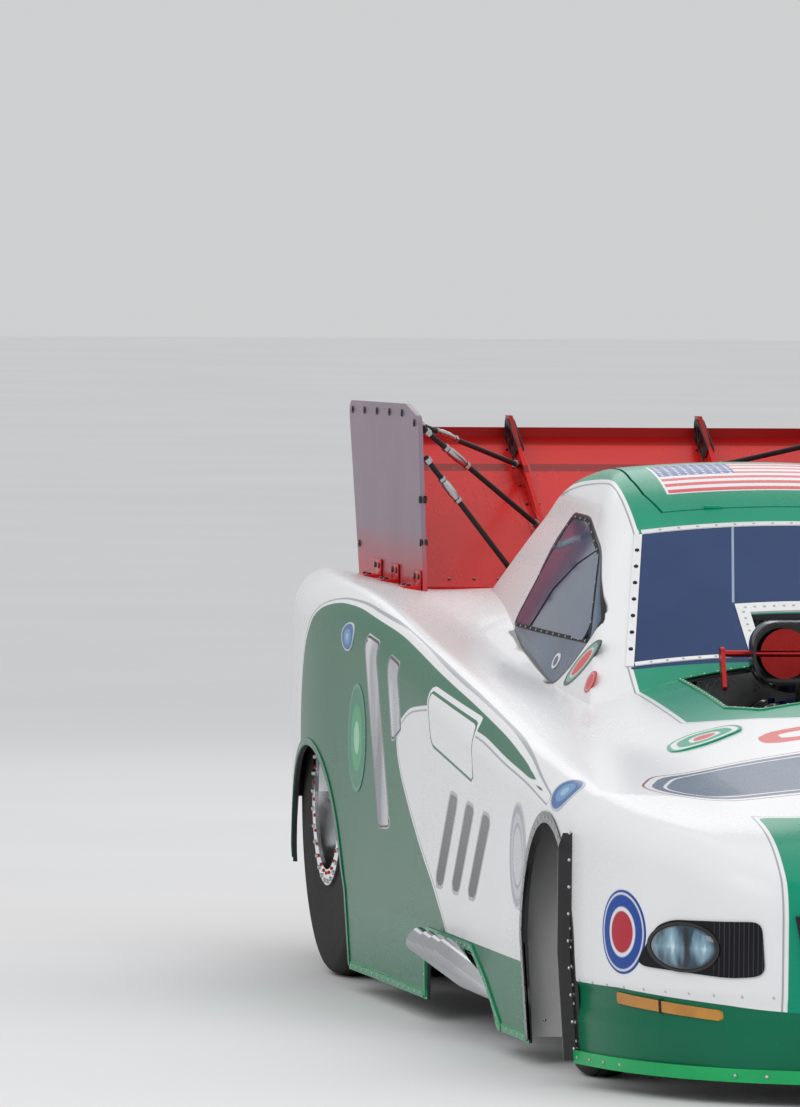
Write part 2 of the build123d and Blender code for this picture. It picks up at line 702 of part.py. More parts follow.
# Floor panels: the belly pan under the rails and the firewall across them
with BuildPart() as floor_panels:
    pan_top = LOWER_RAIL_Z - TUBE - SEAT
    with BuildSketch(Plane.XY.offset(pan_top - PAN_THICK)):
        with Locations((0, aft((-200 + HOOP_AFT) / 2))):
            RectangleRounded(2 * RAIL_X + 60, HOOP_AFT + 200, 40)
    extrude(amount=PAN_THICK)
    with BuildSketch(Plane.XZ.offset(-aft(FIREWALL_AFT))):
        with BuildLine():
            inside = RAIL_X - TUBE - SEAT
            Polyline(
                (-inside, LOWER_RAIL_Z + BRACE + 2 + SEAT),
                (inside, LOWER_RAIL_Z + BRACE + 2 + SEAT),
                (inside, 700),
                (inside - 80, 880),
                (80 - inside, 880),
                (-inside, 700),
                close=True,
            )
        make_face()
        with Locations((0, CRANK_Z)):
            Circle(60, mode=Mode.SUBTRACT)
    extrude(amount=2, both=True)
    add(roll_cage.part, mode=Mode.SUBTRACT)
floor_panels.part.label = "floor_panels"
export_step(floor_panels.part, "parts/floor_panels.step")

# Engine block with its oil pan and manifold, x and z seen from the front
BLOCK_HALF = (
    (110, 92),
    (112, 170),
    (132, 176),
    (158, 262),
    (224, 368),
    (108, 484),
    (60, 430),
)
engine_mid = aft(ENGINE_AFT + ENGINE_LENGTH / 2)
with BuildPart() as engine_block:
    with BuildSketch(Plane.XZ.offset(-aft(ENGINE_AFT))):
        with BuildLine():
            Polyline(*BLOCK_HALF, *[(-x, z) for x, z in reversed(BLOCK_HALF)], close=True)
        make_face()
    extrude(amount=-ENGINE_LENGTH)
    with BuildSketch(Plane.XZ.offset(-aft(ENGINE_AFT + 20))):
        with BuildLine():
            Polyline(
                (-58, 420),
                (58, 420),
                (100, 478),
                (96, BLOWER_BASE_Z - SEAT),
                (-96, BLOWER_BASE_Z - SEAT),
                (-100, 478),
                close=True,
            )
        make_face()
    extrude(amount=-(ENGINE_LENGTH - 40))
engine_block.part.label = "engine_block"
export_step(engine_block.part, "parts/engine_block.step")

with BuildPart() as cylinder_heads:
    for s in (1, -1):
        with BuildSketch(Plane.XZ.offset(-aft(ENGINE_AFT + 12))):
            with BuildLine():
                Polyline(
                    (s * 108.3, 484.3),
                    (s * 224.3, 368.3),
                    (s * PORT_X, PORT_Z - 38),
                    (s * PORT_X, PORT_Z + 36),
                    (s * 184, 560),
                    close=True,
                )
            make_face()
        extrude(amount=-(ENGINE_LENGTH - 24))
cylinder_heads.part.label = "cylinder_heads"
export_step(cylinder_heads.part, "parts/cylinder_heads.step")

with BuildPart() as valve_covers:
    for s in (1, -1):
        cover_plane = Plane(
            origin=(s * 242, engine_mid, (560 + PORT_Z + 36) / 2), x_dir=(0, 1, 0), z_dir=(s * 0.607, 0, 0.795)
        )
        with BuildSketch(cover_plane.offset(SEAT)):
            RectangleRounded(ENGINE_LENGTH - 50, 126, 22)
        extrude(amount=COVER_THICK, taper=6)
valve_covers.part.label = "valve_covers"
export_step(valve_covers.part, "parts/valve_covers.step")

# Supercharger: ribbed twin-rotor case between two bearing plates
CASE_RIBS = 15
LOBE_X = 50
LOBE_Z = BLOWER_BASE_Z + BLOWER_HEIGHT / 2
case_start = ENGINE_AFT + 18
case_length = ENGINE_LENGTH - 36
with BuildPart() as supercharger:
    with BuildSketch(Plane.XZ.offset(-aft(case_start))):
        with Locations((-LOBE_X, LOBE_Z), (LOBE_X, LOBE_Z)):
            Circle(BLOWER_HALF - LOBE_X - 8)
        make_hull()
    extrude(amount=-case_length)
    rib_step = case_length / CASE_RIBS
    for rib in range(CASE_RIBS):
        with BuildSketch(Plane.XZ.offset(-aft(case_start + (rib + 0.5) * rib_step))):
            with Locations((-LOBE_X, LOBE_Z), (LOBE_X, LOBE_Z)):
                Circle(BLOWER_HALF - LOBE_X)
            make_hull()
    extrude(amount=3, both=True)
    for place in (case_start, case_start + case_length):
        with BuildSketch(Plane.XZ.offset(-aft(place))):
            with Locations((0, LOBE_Z)):
                RectangleRounded(2 * BLOWER_HALF + 16, BLOWER_HEIGHT - 10, 80)
        extrude(amount=10, both=True)
    for level in (BLOWER_BASE_Z + 7, SCOOP_BASE_Z - 7):
        with Locations((0, aft(case_start + case_length / 2), level)):
            Box(230, case_length - 20, 14)
supercharger.part.label = "supercharger"
export_step(supercharger.part, "parts/supercharger.step")

# Injector scoop: wide mouth at the front, closing to the rear and down to its base
# columns: distance behind the mouth, half width, low edge, high edge, corner radius
SCOOP_STATIONS = (
    (0, SCOOP_HALF, 832, SCOOP_TOP_Z, 60),
    (90, SCOOP_HALF - 14, 818, SCOOP_TOP_Z - 4, 60),
    (190, 152, 802, SCOOP_TOP_Z - 44, 54),
    (310, 122, 794, SCOOP_TOP_Z - 92, 44),
    (SCOOP_LENGTH, 84, 790, SCOOP_TOP_Z - 128, 26),
)


def scoop_form(stations, inset):
    """The scoop's outer form, or its inside, through rounded sections."""
    with BuildPart() as form:
        for back, half, low, high, corner in stations:
            with BuildSketch(Plane.XZ.offset(-aft(SCOOP_AFT + back))):
                with Locations((0, (low + high) / 2)):
                    RectangleRounded(2 * (half - inset), high - low - 2 * inset, corner - inset)
        loft()
    return form.part


SCOOP_WALL = 6
with BuildPart() as injector_scoop:
    add(scoop_form(SCOOP_STATIONS, 0))
    mouth = [(back - (1 if back == 0 else 0), *rest) for back, *rest in SCOOP_STATIONS[:2]]
    add(scoop_form(mouth, SCOOP_WALL), mode=Mode.SUBTRACT)
    with Locations((0, aft(SCOOP_AFT + 265), (SCOOP_BASE_Z + SEAT + 830) / 2)):
        Box(200, 290, 830 - SCOOP_BASE_Z - SEAT)
    with Locations((0, aft(SCOOP_AFT + 235), SCOOP_BASE_Z + SEAT + 7)):
        Box(236, 380, 14)
injector_scoop.part.label = "injector_scoop"
export_step(injector_scoop.part, "parts/injector_scoop.step")

# Throttle plates in the mouth on one cross shaft, with the lever at its right end
THROTTLE_RADIUS = 60
THROTTLE_BACK = 66
throttle_z = (832 + SCOOP_TOP_Z) / 2 - 4
with BuildPart() as throttle_plates:
    with BuildSketch(Plane.XZ.offset(-aft(SCOOP_AFT + THROTTLE_BACK))):
        with Locations((-138, throttle_z), (0, throttle_z), (138, throttle_z)):
            Circle(THROTTLE_RADIUS)
    extrude(amount=3, both=True)
    add(tube((-292, aft(SCOOP_AFT + THROTTLE_BACK), throttle_z), (214, aft(SCOOP_AFT + THROTTLE_BACK), throttle_z), 8))
    with BuildSketch(Plane.YZ.offset(-292)):
        with Locations((aft(SCOOP_AFT + THROTTLE_BACK), throttle_z)):
            Circle(16)
        with Locations((aft(SCOOP_AFT + THROTTLE_BACK - 32), throttle_z - 78)):
            Circle(9)
        make_hull()
    extrude(amount=5, both=True)
    add(injector_scoop.part, mode=Mode.SUBTRACT)
throttle_plates.part.label = "throttle_plates"
export_step(throttle_plates.part, "parts/throttle_plates.step")

# Supercharger drive in front of the engine
BELT_WIDTH = 76
BELT_THICK = 9
TOP_PULLEY = 90
CRANK_PULLEY = 68
pulley_y = aft(ENGINE_AFT - 14 - BELT_WIDTH / 2)
with BuildPart() as drive_pulleys:
    with BuildSketch(Plane.XZ.offset(-pulley_y)):
        with Locations((0, LOBE_Z)):
            Circle(TOP_PULLEY)
        with Locations((0, CRANK_Z)):
            Circle(CRANK_PULLEY)
    extrude(amount=BELT_WIDTH / 2 + 4, both=True)
    add(tube((0, pulley_y - 60, LOBE_Z), (0, aft(case_start - 10 - SEAT), LOBE_Z), 32))
    add(tube((0, pulley_y - 54, CRANK_Z), (0, aft(ENGINE_AFT - SEAT), CRANK_Z), 30))
drive_pulleys.part.label = "drive_pulleys"
export_step(drive_pulleys.part, "parts/drive_pulleys.step")

with BuildPart() as drive_belt:
    for grow, mode in ((BELT_THICK, Mode.ADD), (SEAT, Mode.SUBTRACT)):
        with BuildSketch(Plane.XZ.offset(-pulley_y)):
            with Locations((0, LOBE_Z)):
                Circle(TOP_PULLEY + grow)
            with Locations((0, CRANK_Z)):
                Circle(CRANK_PULLEY + grow)
            make_hull()
        extrude(amount=BELT_WIDTH / 2, both=True, mode=mode)
drive_belt.part.label = "drive_belt"
export_step(drive_belt.part, "parts/drive_belt.step")

# Driveline: clutch housing and driveshaft
CLUTCH_RADIUS = 160
PINION_Z = REAR_AXLE_Z - 150
with BuildPart() as driveline:
    with BuildSketch(Plane.XZ.offset(-aft(ENGINE_AFT + ENGINE_LENGTH + SEAT))):
        with Locations((0, CRANK_Z)):
            Circle(CLUTCH_RADIUS)
    extrude(amount=-190, taper=4)
    shaft_start = (0, aft(ENGINE_AFT + ENGINE_LENGTH + 190 + 3), CRANK_Z)
    add(tube(shaft_start, (0, aft(REAR_AXLE_AFT - 232), PINION_Z), 26))
driveline.part.label = "driveline"
export_step(driveline.part, "parts/driveline.step")

# Exhaust: four bent pipes a side, each seated on the flange, out through the notch and back
FLANGE_THICK = 8
FLANGE_X = PORT_X + SEAT
with BuildPart() as exhaust_headers:
    with Locations((FLANGE_X + FLANGE_THICK / 2, engine_mid, PORT_Z), (-FLANGE_X - FLANGE_THICK / 2, engine_mid, PORT_Z)):
        Box(FLANGE_THICK, ENGINE_LENGTH - 60, 66)
    header_pipes = []
    bores = []
    for s in (1, -1):
        for pipe in range(4):
            port = aft(ENGINE_AFT + 75 + 140 * pipe)
            turn = aft(905 + 125 * pipe)
            knee = Vector(s * 890, turn, 116)
            outlet = Vector(s * 1006, turn + 190, 212)
            pipe_path = (
                (s * (FLANGE_X + FLANGE_THICK + SEAT), port, PORT_Z),
                (s * 425, port, PORT_Z),
                (s * 520, (port + turn) / 2, 128),
                knee,
                outlet,
            )
            header_pipes.append(route(pipe_path, PIPE_RADIUS, 62))
            inward = (knee - outlet).normalized()
            bores.append(tube(outlet - inward, outlet + inward * 90, PIPE_RADIUS - PIPE_WALL))
    add(header_pipes)
    add(bores, mode=Mode.SUBTRACT)
exhaust_headers.part.label = "exhaust_headers"
export_step(exhaust_headers.part, "parts/exhaust_headers.step")

# Fuel tank between the front rails
with BuildPart() as fuel_tank:
    tank_low = LOWER_RAIL_Z + BRACE + 2 + SEAT
    with BuildSketch(Plane.XY.offset(tank_low)):
        with Locations((0, aft(-430))):
            RectangleRounded(440, 380, 50)
    extrude(amount=330)
    fillet(edges().group_by(Axis.Z)[-1], radius=24)
    with BuildSketch(Plane.XY.offset(tank_low + 330)):
        with Locations((0, aft(-500))):
            Circle(38)
    extrude(amount=26)
fuel_tank.part.label = "fuel_tank"
export_step(fuel_tank.part, "parts/fuel_tank.step")

# Driver's seat on the upper rails
with BuildPart() as driver_seat:
    seat_low = UPPER_RAIL_Z + BRACE + 2 + SEAT
    with BuildSketch(Plane.YZ):
        with BuildLine():
            Polyline(
                (aft(SEAT_FRONT), seat_low),
                (aft(SEAT_REAR - 90), seat_low),
                (aft(SEAT_REAR), seat_low + 60),
                (aft(SEAT_REAR + 45), 880),
                (aft(SEAT_REAR - 15), 880),
                (aft(SEAT_REAR - 120), seat_low + 110),
                (aft(SEAT_FRONT), seat_low + 120),
                close=True,
            )
        make_face()
        fillet(vertices(), radius=26)
    extrude(amount=205, both=True)
    with BuildSketch(Plane.YZ):
        with BuildLine():
            Polyline(
                (aft(SEAT_FRONT - 10), seat_low + 60),
                (aft(SEAT_REAR - 170), seat_low + 60),
                (aft(SEAT_REAR - 60), 890),
                (aft(SEAT_FRONT - 10), 890),
                close=True,
            )
        make_face()
        fillet(vertices(), radius=20)
    extrude(amount=150, both=True, mode=Mode.SUBTRACT)
driver_seat.part.label = "driver_seat"
export_step(driver_seat.part, "parts/driver_seat.step")

# Steering column with its yoke
COLUMN_Z = 620
with BuildPart() as steering_yoke:
    add(tube((0, aft(FIREWALL_AFT + 9.4), 504), (0, aft(2105), COLUMN_Z), 15))
    column = Vector(0, 225, COLUMN_Z - 500).normalized()
    with BuildSketch(Plane(origin=(0, aft(2105), COLUMN_Z), x_dir=(1, 0, 0), z_dir=column)):
        SlotOverall(290, 34)
    extrude(amount=16)
    for s in (1, -1):
        with BuildSketch(Plane(origin=(s * 128, aft(2113), COLUMN_Z + 4), x_dir=(1, 0, 0), z_dir=column)):
            SlotOverall(120, 34, rotation=90)
        extrude(amount=26, both=True)
steering_yoke.part.label = "steering_yoke"
export_step(steering_yoke.part, "parts/steering_yoke.step")

# Front axle: beam under the upper rails, forks and kingpins at its ends
FORK_THICK = 12
FORK_GAP = 0.6
with BuildPart() as front_axle:
    add(tube((-KINGPIN_X + 34, aft(0), FRONT_AXLE_Z), (KINGPIN_X - 34, aft(0), FRONT_AXLE_Z), AXLE_BEAM_RADIUS))
    for s in (1, -1):
        reach = KNUCKLE_HEIGHT / 2 + FORK_GAP
        with Locations((s * (KINGPIN_X - 40), aft(0), FRONT_AXLE_Z)):
            Box(24, 44, 2 * (reach + FORK_THICK))
        for level in (1, -1):
            with BuildSketch(Plane.XY.offset(FRONT_AXLE_Z + level * reach)):
                with Locations((s * KINGPIN_X, aft(0))):
                    Circle(22)
                with Locations((s * (KINGPIN_X - 20), aft(0))):
                    Rectangle(40, 44)
            extrude(amount=level * FORK_THICK)
        with Locations((s * KINGPIN_X, aft(0), FRONT_AXLE_Z)):
            Cylinder(KINGPIN_RADIUS, 2 * (reach + FORK_THICK) + 12)
front_axle.part.label = "front_axle"
export_step(front_axle.part, "parts/front_axle.step")

# Steering knuckles, each with its spindle, arm and tie rod pin
SPINDLE_RADIUS = 17
SPINDLE_END = FRONT_TIRE_X + 52
ARM_TOP_Z = FRONT_AXLE_Z - 22
EYE_HEIGHT = 18
EYE_PIN = 7


def knuckle(s):
    """The steering knuckle of one side, s = 1 for the car's left."""
    with BuildPart() as piece:
        with Locations((s * KINGPIN_X, aft(0), FRONT_AXLE_Z)):
            Cylinder(23, KNUCKLE_HEIGHT)
        spindle_length = SPINDLE_END - KINGPIN_X
        with BuildSketch(Plane(origin=(s * KINGPIN_X, aft(0), FRONT_AXLE_Z), z_dir=(s, 0, 0))):
            Circle(SPINDLE_RADIUS)
        extrude(amount=spindle_length)
        with BuildSketch(Plane.XY.offset(ARM_TOP_Z - 14)):
            with Locations((s * KINGPIN_X, aft(0))):
                Circle(21)
            with Locations((s * KINGPIN_X, aft(STEERING_ARM))):
                Circle(14)
            make_hull()
        extrude(amount=14)
        with BuildSketch(Plane.XY.offset(ARM_TOP_Z)):
            with Locations((s * KINGPIN_X, aft(STEERING_ARM))):
                Circle(EYE_PIN)
        extrude(amount=-(14 + 1 + EYE_HEIGHT + 4))
        with Locations((s * KINGPIN_X, aft(0), FRONT_AXLE_Z)):
            Cylinder(KINGPIN_RADIUS + SEAT, KNUCKLE_HEIGHT + 2, mode=Mode.SUBTRACT)
    return piece.part


knuckle_left = knuckle(1)
knuckle_left.label = "knuckle_left"
export_step(knuckle_left, "parts/knuckle_left.step")
knuckle_right = knuckle(-1)
knuckle_right.label = "knuckle_right"
export_step(knuckle_right, "parts/knuckle_right.step")

# Tie rod with an eye on each arm's pin
eye_top = ARM_TOP_Z - 14 - 1
with BuildPart() as tie_rod:
    rod_z = eye_top - EYE_HEIGHT / 2
    add(tube((-KINGPIN_X, aft(STEERING_ARM), rod_z), (KINGPIN_X, aft(STEERING_ARM), rod_z), 8))
    with BuildSketch(Plane.XY.offset(eye_top)):
        with Locations((-KINGPIN_X, aft(STEERING_ARM)), (KINGPIN_X, aft(STEERING_ARM))):
            Circle(15)
    extrude(amount=-EYE_HEIGHT)
    with BuildSketch(Plane.XY.offset(eye_top + 1)):
        with Locations((-KINGPIN_X, aft(STEERING_ARM)), (KINGPIN_X, aft(STEERING_ARM))):
            Circle(EYE_PIN + SEAT)
    extrude(amount=-EYE_HEIGHT - 2, mode=Mode.SUBTRACT)
tie_rod.part.label = "tie_rod"
export_step(tie_rod.part, "parts/tie_rod.step")


def wheel_plane(axle_aft, axle_z):
    """Plane through an axle: its local X runs along the axle, its local Y is the radius."""
    return Plane(origin=(0, aft(axle_aft), axle_z), x_dir=(1, 0, 0), z_dir=(0, 0, 1))


def axle_line(axle_aft, axle_z):
    """The axle as an axis to revolve about."""
    return Axis((0, aft(axle_aft), axle_z), (1, 0, 0))


def turned(outline, axle_aft, axle_z):
    """A ring turned about an axle, from an outline of places along the axle and radii."""
    with BuildPart() as piece:
        with BuildSketch(wheel_plane(axle_aft, axle_z)):
            with BuildLine():
                Polyline(*outline, close=True)
            make_face()
        revolve(axis=axle_line(axle_aft, axle_z))
    return piece.part


def tire(s, middle, width, outside, bore, axle_aft, axle_z, shoulder):
    """One tyre with rounded shoulders and bulging sidewalls."""
    half = width / 2
    x = s * middle
    with BuildPart() as piece:
        with BuildSketch(wheel_plane(axle_aft, axle_z)):
            with BuildLine():
                Polyline((x - half + 8, bore + 34), (x - half + 10, bore), (x + half - 10, bore), (x + half - 8, bore + 34))
                for side in (1, -1):
                    ThreePointArc(
                        (x + side * (half - 8), bore + 34),
                        (x + side * half, (bore + outside) / 2 + 12),
                        (x + side * (half - 3), outside - shoulder),
                    )
                    ThreePointArc(
                        (x + side * (half - 3), outside - shoulder),
                        (x + side * (half - 3 - 0.32 * shoulder), outside - 0.32 * shoulder),
                        (x + side * (half - 3 - shoulder), outside - 2),
                    )
                ThreePointArc((x - half + 3 + shoulder, outside - 2), (x, outside), (x + half - 3 - shoulder, outside - 2))
            make_face()
        revolve(axis=axle_line(axle_aft, axle_z))
    return piece.part


# Front wheels: spun rim, web with round holes, hub on the spindle
WEB_HOLES = 10


def front_wheel(s):
    """The spun front rim of one side with its hub."""
    middle = FRONT_TIRE_X
    low = FRONT_RIM_RADIUS
    hub = SPINDLE_RADIUS + SEAT
    half = FRONT_TIRE_WIDTH / 2 - 8
    outline = (
        (middle - half, low),
        (middle - half, low - 14),
        (middle - half + 16, low - 18),
        (middle - 10, low - 34),
        (middle + 8, low - 40),
        (middle + 22, 62),
        (middle + 14, 46),
        (middle - 36, 42),
        (middle - 36, hub),
        (middle + 40, hub),
        (middle + 40, 40),
        (middle + 34, 60),
        (middle + 18, low - 34),
        (middle + half - 10, low - 22),
        (middle + half, low - 12),
        (middle + half, low),
    )
    with BuildPart() as piece:
        add(turned([(s * x, r) for x, r in outline], 0, FRONT_AXLE_Z))
        hole_plane = Plane(origin=(s * (middle - 20), aft(0), FRONT_AXLE_Z), z_dir=(s, 0, 0))
        with BuildSketch(hole_plane):
            with PolarLocations((62 + low - 36) / 2 + 4, WEB_HOLES):
                Circle(17)
        extrude(amount=60, mode=Mode.SUBTRACT)
    return piece.part


front_size = (FRONT_TIRE_WIDTH, FRONT_TIRE_DIAMETER / 2, FRONT_RIM_RADIUS + SEAT)
for s, side_name in ((1, "left"), (-1, "right")):
    front_tire = tire(s, FRONT_TIRE_X, *front_size, 0, FRONT_AXLE_Z, 26)
    front_tire.label = f"front_tire_{side_name}"
    export_step(front_tire, f"parts/front_tire_{side_name}.step")
    front_rim = front_wheel(s)
    front_rim.label = f"front_wheel_{side_name}"
    export_step(front_rim, f"parts/front_wheel_{side_name}.step")

# Rear tyres
rear_size = (REAR_TIRE_WIDTH, REAR_TIRE_DIAMETER / 2, REAR_RIM_RADIUS + SEAT)
with BuildPart() as rear_tires:
    for s in (1, -1):
        add(tire(s, REAR_TIRE_X, *rear_size, REAR_AXLE_AFT, REAR_AXLE_Z, 34))
rear_tires.part.label = "rear_tires"
export_step(rear_tires.part, "parts/rear_tires.step")

# Rear wheels: barrel, centre disc, beadlock rings, hub and brake disc
REAR_HOUSING_END = 452
DISC_X = 478
DISC_RADIUS = 150
rim_half = REAR_TIRE_WIDTH / 2 - 10
inside_x = REAR_TIRE_X - rim_half
outside_x = REAR_TIRE_X + rim_half
RIM_OUTLINE = (
    (inside_x, REAR_RIM_RADIUS),
    (inside_x, REAR_RIM_RADIUS - 16),
    (inside_x + 40, REAR_RIM_RADIUS - 22),
    (REAR_TIRE_X - 14, REAR_RIM_RADIUS - 30),
    (REAR_TIRE_X - 14, 92),
    (REAR_TIRE_X - 30, 78),
    (DISC_X + 7, 60),
    (DISC_X + 7, DISC_RADIUS),
    (DISC_X - 7, DISC_RADIUS),
    (DISC_X - 7, 56),
    (REAR_HOUSING_END + RUNNING, 50),
    (REAR_HOUSING_END + RUNNING, 0),
    (REAR_TIRE_X + 46, 0),
    (REAR_TIRE_X + 46, 44),
    (REAR_TIRE_X + 12, 58),
    (REAR_TIRE_X + 2, 92),
    (REAR_TIRE_X + 2, REAR_RIM_RADIUS - 32),
    (outside_x - 40, REAR_RIM_RADIUS - 22),
    (outside_x, REAR_RIM_RADIUS - 16),
    (outside_x, REAR_RIM_RADIUS),
)
BEADLOCK_OUTLINE = (
    (outside_x + SEAT - 1, REAR_RIM_RADIUS - 18),
    (outside_x + SEAT - 1, REAR_RIM_RADIUS - 0.5),
    (outside_x + 2.5, REAR_RIM_RADIUS - 0.5),
    (outside_x + 2.5, REAR_RIM_RADIUS + 22),
    (outside_x + 9, REAR_RIM_RADIUS + 22),
    (outside_x + 9, REAR_RIM_RADIUS - 18),
)
with BuildPart() as rear_wheels:
    for s in (1, -1):
        add(turned([(s * x, r) for x, r in RIM_OUTLINE], REAR_AXLE_AFT, REAR_AXLE_Z))
        add(turned([(s * x, r) for x, r in BEADLOCK_OUTLINE], REAR_AXLE_AFT, REAR_AXLE_Z))
        hole_plane = Plane(origin=(s * (REAR_TIRE_X - 40), aft(REAR_AXLE_AFT), REAR_AXLE_Z), z_dir=(s, 0, 0))
        with BuildSketch(hole_plane):
            with PolarLocations(132, 8):
                Circle(22)
        extrude(amount=60, mode=Mode.SUBTRACT)
    add(rear_tires.part, mode=Mode.SUBTRACT)
rear_wheels.part.label = "rear_wheels"
export_step(rear_wheels.part, "parts/rear_wheels.step")

# Rear axle housing with the final drive
with BuildPart() as rear_axle_housing:
    housing_outline = (
        (-REAR_HOUSING_END, 0),
        (-REAR_HOUSING_END, 66),
        (-REAR_HOUSING_END + 14, 66),
        (-REAR_HOUSING_END + 14, AXLE_TUBE_RADIUS),
        (-190, AXLE_TUBE_RADIUS),
        (-120, 110),
        (-60, 152),
        (60, 152),
        (120, 110),
        (190, AXLE_TUBE_RADIUS),
        (REAR_HOUSING_END - 14, AXLE_TUBE_RADIUS),
        (REAR_HOUSING_END - 14, 66),
        (REAR_HOUSING_END, 66),
        (REAR_HOUSING_END, 0),
    )
    add(turned(housing_outline, REAR_AXLE_AFT, REAR_AXLE_Z))
    add(tube((0, aft(REAR_AXLE_AFT), PINION_Z), (0, aft(REAR_AXLE_AFT - 228), PINION_Z), 58))
rear_axle_housing.part.label = "rear_axle_housing"
export_step(rear_axle_housing.part, "parts/rear_axle_housing.step")

# Rear brake calipers, seated on the housing's end flanges
CALIPER_SLOT = 7 + RUNNING
with BuildPart() as brake_calipers:
    for s in (1, -1):
        with BuildSketch(Plane.YZ.offset(s * (REAR_HOUSING_END - 20))):
            with BuildLine():
                Polyline(
                    (aft(REAR_AXLE_AFT - 20), REAR_AXLE_Z + 66 + SEAT),
                    (aft(REAR_AXLE_AFT + 60), REAR_AXLE_Z + 66 + SEAT),
                    (aft(REAR_AXLE_AFT + 120), REAR_AXLE_Z + 100),
                    (aft(REAR_AXLE_AFT + 90), REAR_AXLE_Z + 178),
                    (aft(REAR_AXLE_AFT - 30), REAR_AXLE_Z + 190),
                    close=True,
                )
            make_face()
        extrude(amount=s * (DISC_X - REAR_HOUSING_END + 20 + 28))
        with BuildSketch(wheel_plane(REAR_AXLE_AFT, REAR_AXLE_Z)):
            with Locations((s * DISC_X, (DISC_RADIUS + RUNNING) / 2)):
                Rectangle(2 * CALIPER_SLOT, DISC_RADIUS + RUNNING)
            with Locations((s * (DISC_X + 40), 50)):
                Rectangle(120, 100)
        revolve(axis=axle_line(REAR_AXLE_AFT, REAR_AXLE_Z), mode=Mode.SUBTRACT)
brake_calipers.part.label = "brake_calipers"
export_step(brake_calipers.part, "parts/brake_calipers.step")

# Wheelie bar: four struts behind the frame and an axle for its two small wheels
BAR_AFT = 4325
BAR_Z = 94
BAR_WHEEL_RADIUS = 50
BAR_WHEEL_X = 150
BAR_AXLE_RADIUS = 12
STRUT_END_X = 98
with BuildPart() as wheelie_bar:
    for s in (1, -1):
        add(tube((s * 220, aft(PLATE_REAR - 25), 240), (s * STRUT_END_X, aft(BAR_AFT), BAR_Z), 13))
        add(tube((s * 270, aft(HINGE_AFT - 12), HINGE_Z - 16), (s * STRUT_END_X, aft(BAR_AFT), BAR_Z), 13))
        add(tube((s * 168, aft(3830), 165), (s * 206, aft(4050), 315), 9))
    add(tube((-BAR_WHEEL_X - 30, aft(BAR_AFT), BAR_Z), (BAR_WHEEL_X + 30, aft(BAR_AFT), BAR_Z), BAR_AXLE_RADIUS))
    add(cross_tubes.part, mode=Mode.SUBTRACT)
wheelie_bar.part.label = "wheelie_bar"
export_step(wheelie_bar.part, "parts/wheelie_bar.step")

with BuildPart() as wheelie_wheels:
    for s in (1, -1):
        ends = sorted((s * (BAR_WHEEL_X - 18), s * (BAR_WHEEL_X + 18)))
        ring = (
            (ends[0], BAR_AXLE_RADIUS + SEAT),
            (ends[0], BAR_WHEEL_RADIUS - 6),
            (ends[0] + 6, BAR_WHEEL_RADIUS),
            (ends[1] - 6, BAR_WHEEL_RADIUS),
            (ends[1], BAR_WHEEL_RADIUS - 6),
            (ends[1], BAR_AXLE_RADIUS + SEAT),
        )
        add(turned(ring, BAR_AFT, BAR_Z))
wheelie_wheels.part.label = "wheelie_wheels"
export_step(wheelie_wheels.part, "parts/wheelie_wheels.step")

# Parachute packs on a tray behind the hinge tube
TRAY_Z = HINGE_Z - 36
TRAY_END = 4250
with BuildPart() as parachute_tray:
    with BuildSketch(Plane.XY.offset(TRAY_Z)):
        with Locations((0, aft((HINGE_AFT + TRAY_END) / 2))):
            RectangleRounded(560, TRAY_END - HINGE_AFT, 12)
    extrude(amount=5)
    for x in (-240, 0, 240):
        with BuildSketch(Plane.YZ.offset(x)):
            with BuildLine():
                Polyline(
                    (aft(HINGE_AFT - 30), TRAY_Z),
                    (aft(HINGE_AFT - 30), HINGE_Z + 26),
                    (aft(HINGE_AFT + 26), HINGE_Z + 26),
                    (aft(HINGE_AFT + 34), TRAY_Z + 5),
                    (aft(TRAY_END - 60), TRAY_Z),
                    (aft(HINGE_AFT + 60), TRAY_Z - 30),
                    close=True,
                )
            make_face()
        extrude(amount=4, both=True)
    add(cross_tubes.part, mode=Mode.SUBTRACT)
    add(wheelie_bar.part, mode=Mode.SUBTRACT)
parachute_tray.part.label = "parachute_tray"
export_step(parachute_tray.part, "parts/parachute_tray.step")

with BuildPart() as parachute_packs:
    for s in (1, -1):
        with BuildSketch(Plane.XY.offset(TRAY_Z + 5 + SEAT)):
            with Locations((s * 139, aft(HINGE_AFT + 195))):
                RectangleRounded(262, 290, 40)
        extrude(amount=170)
    fillet(edges().group_by(Axis.Z)[-1], radius=30)
parachute_packs.part.label = "parachute_packs"
export_step(parachute_packs.part, "parts/parachute_packs.step")
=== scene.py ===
"""Looks of a nitro drag racing car with a one-piece tilting body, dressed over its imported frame.

Metres; X to the car's left, Y to the rear, Z up. "aft" is the distance behind the front axle.
"""

from math import pi

import bmesh
import bpy
import numpy as np
from bpy.props import FloatProperty, FloatVectorProperty, IntProperty, PointerProperty
from mathutils import Matrix, Vector


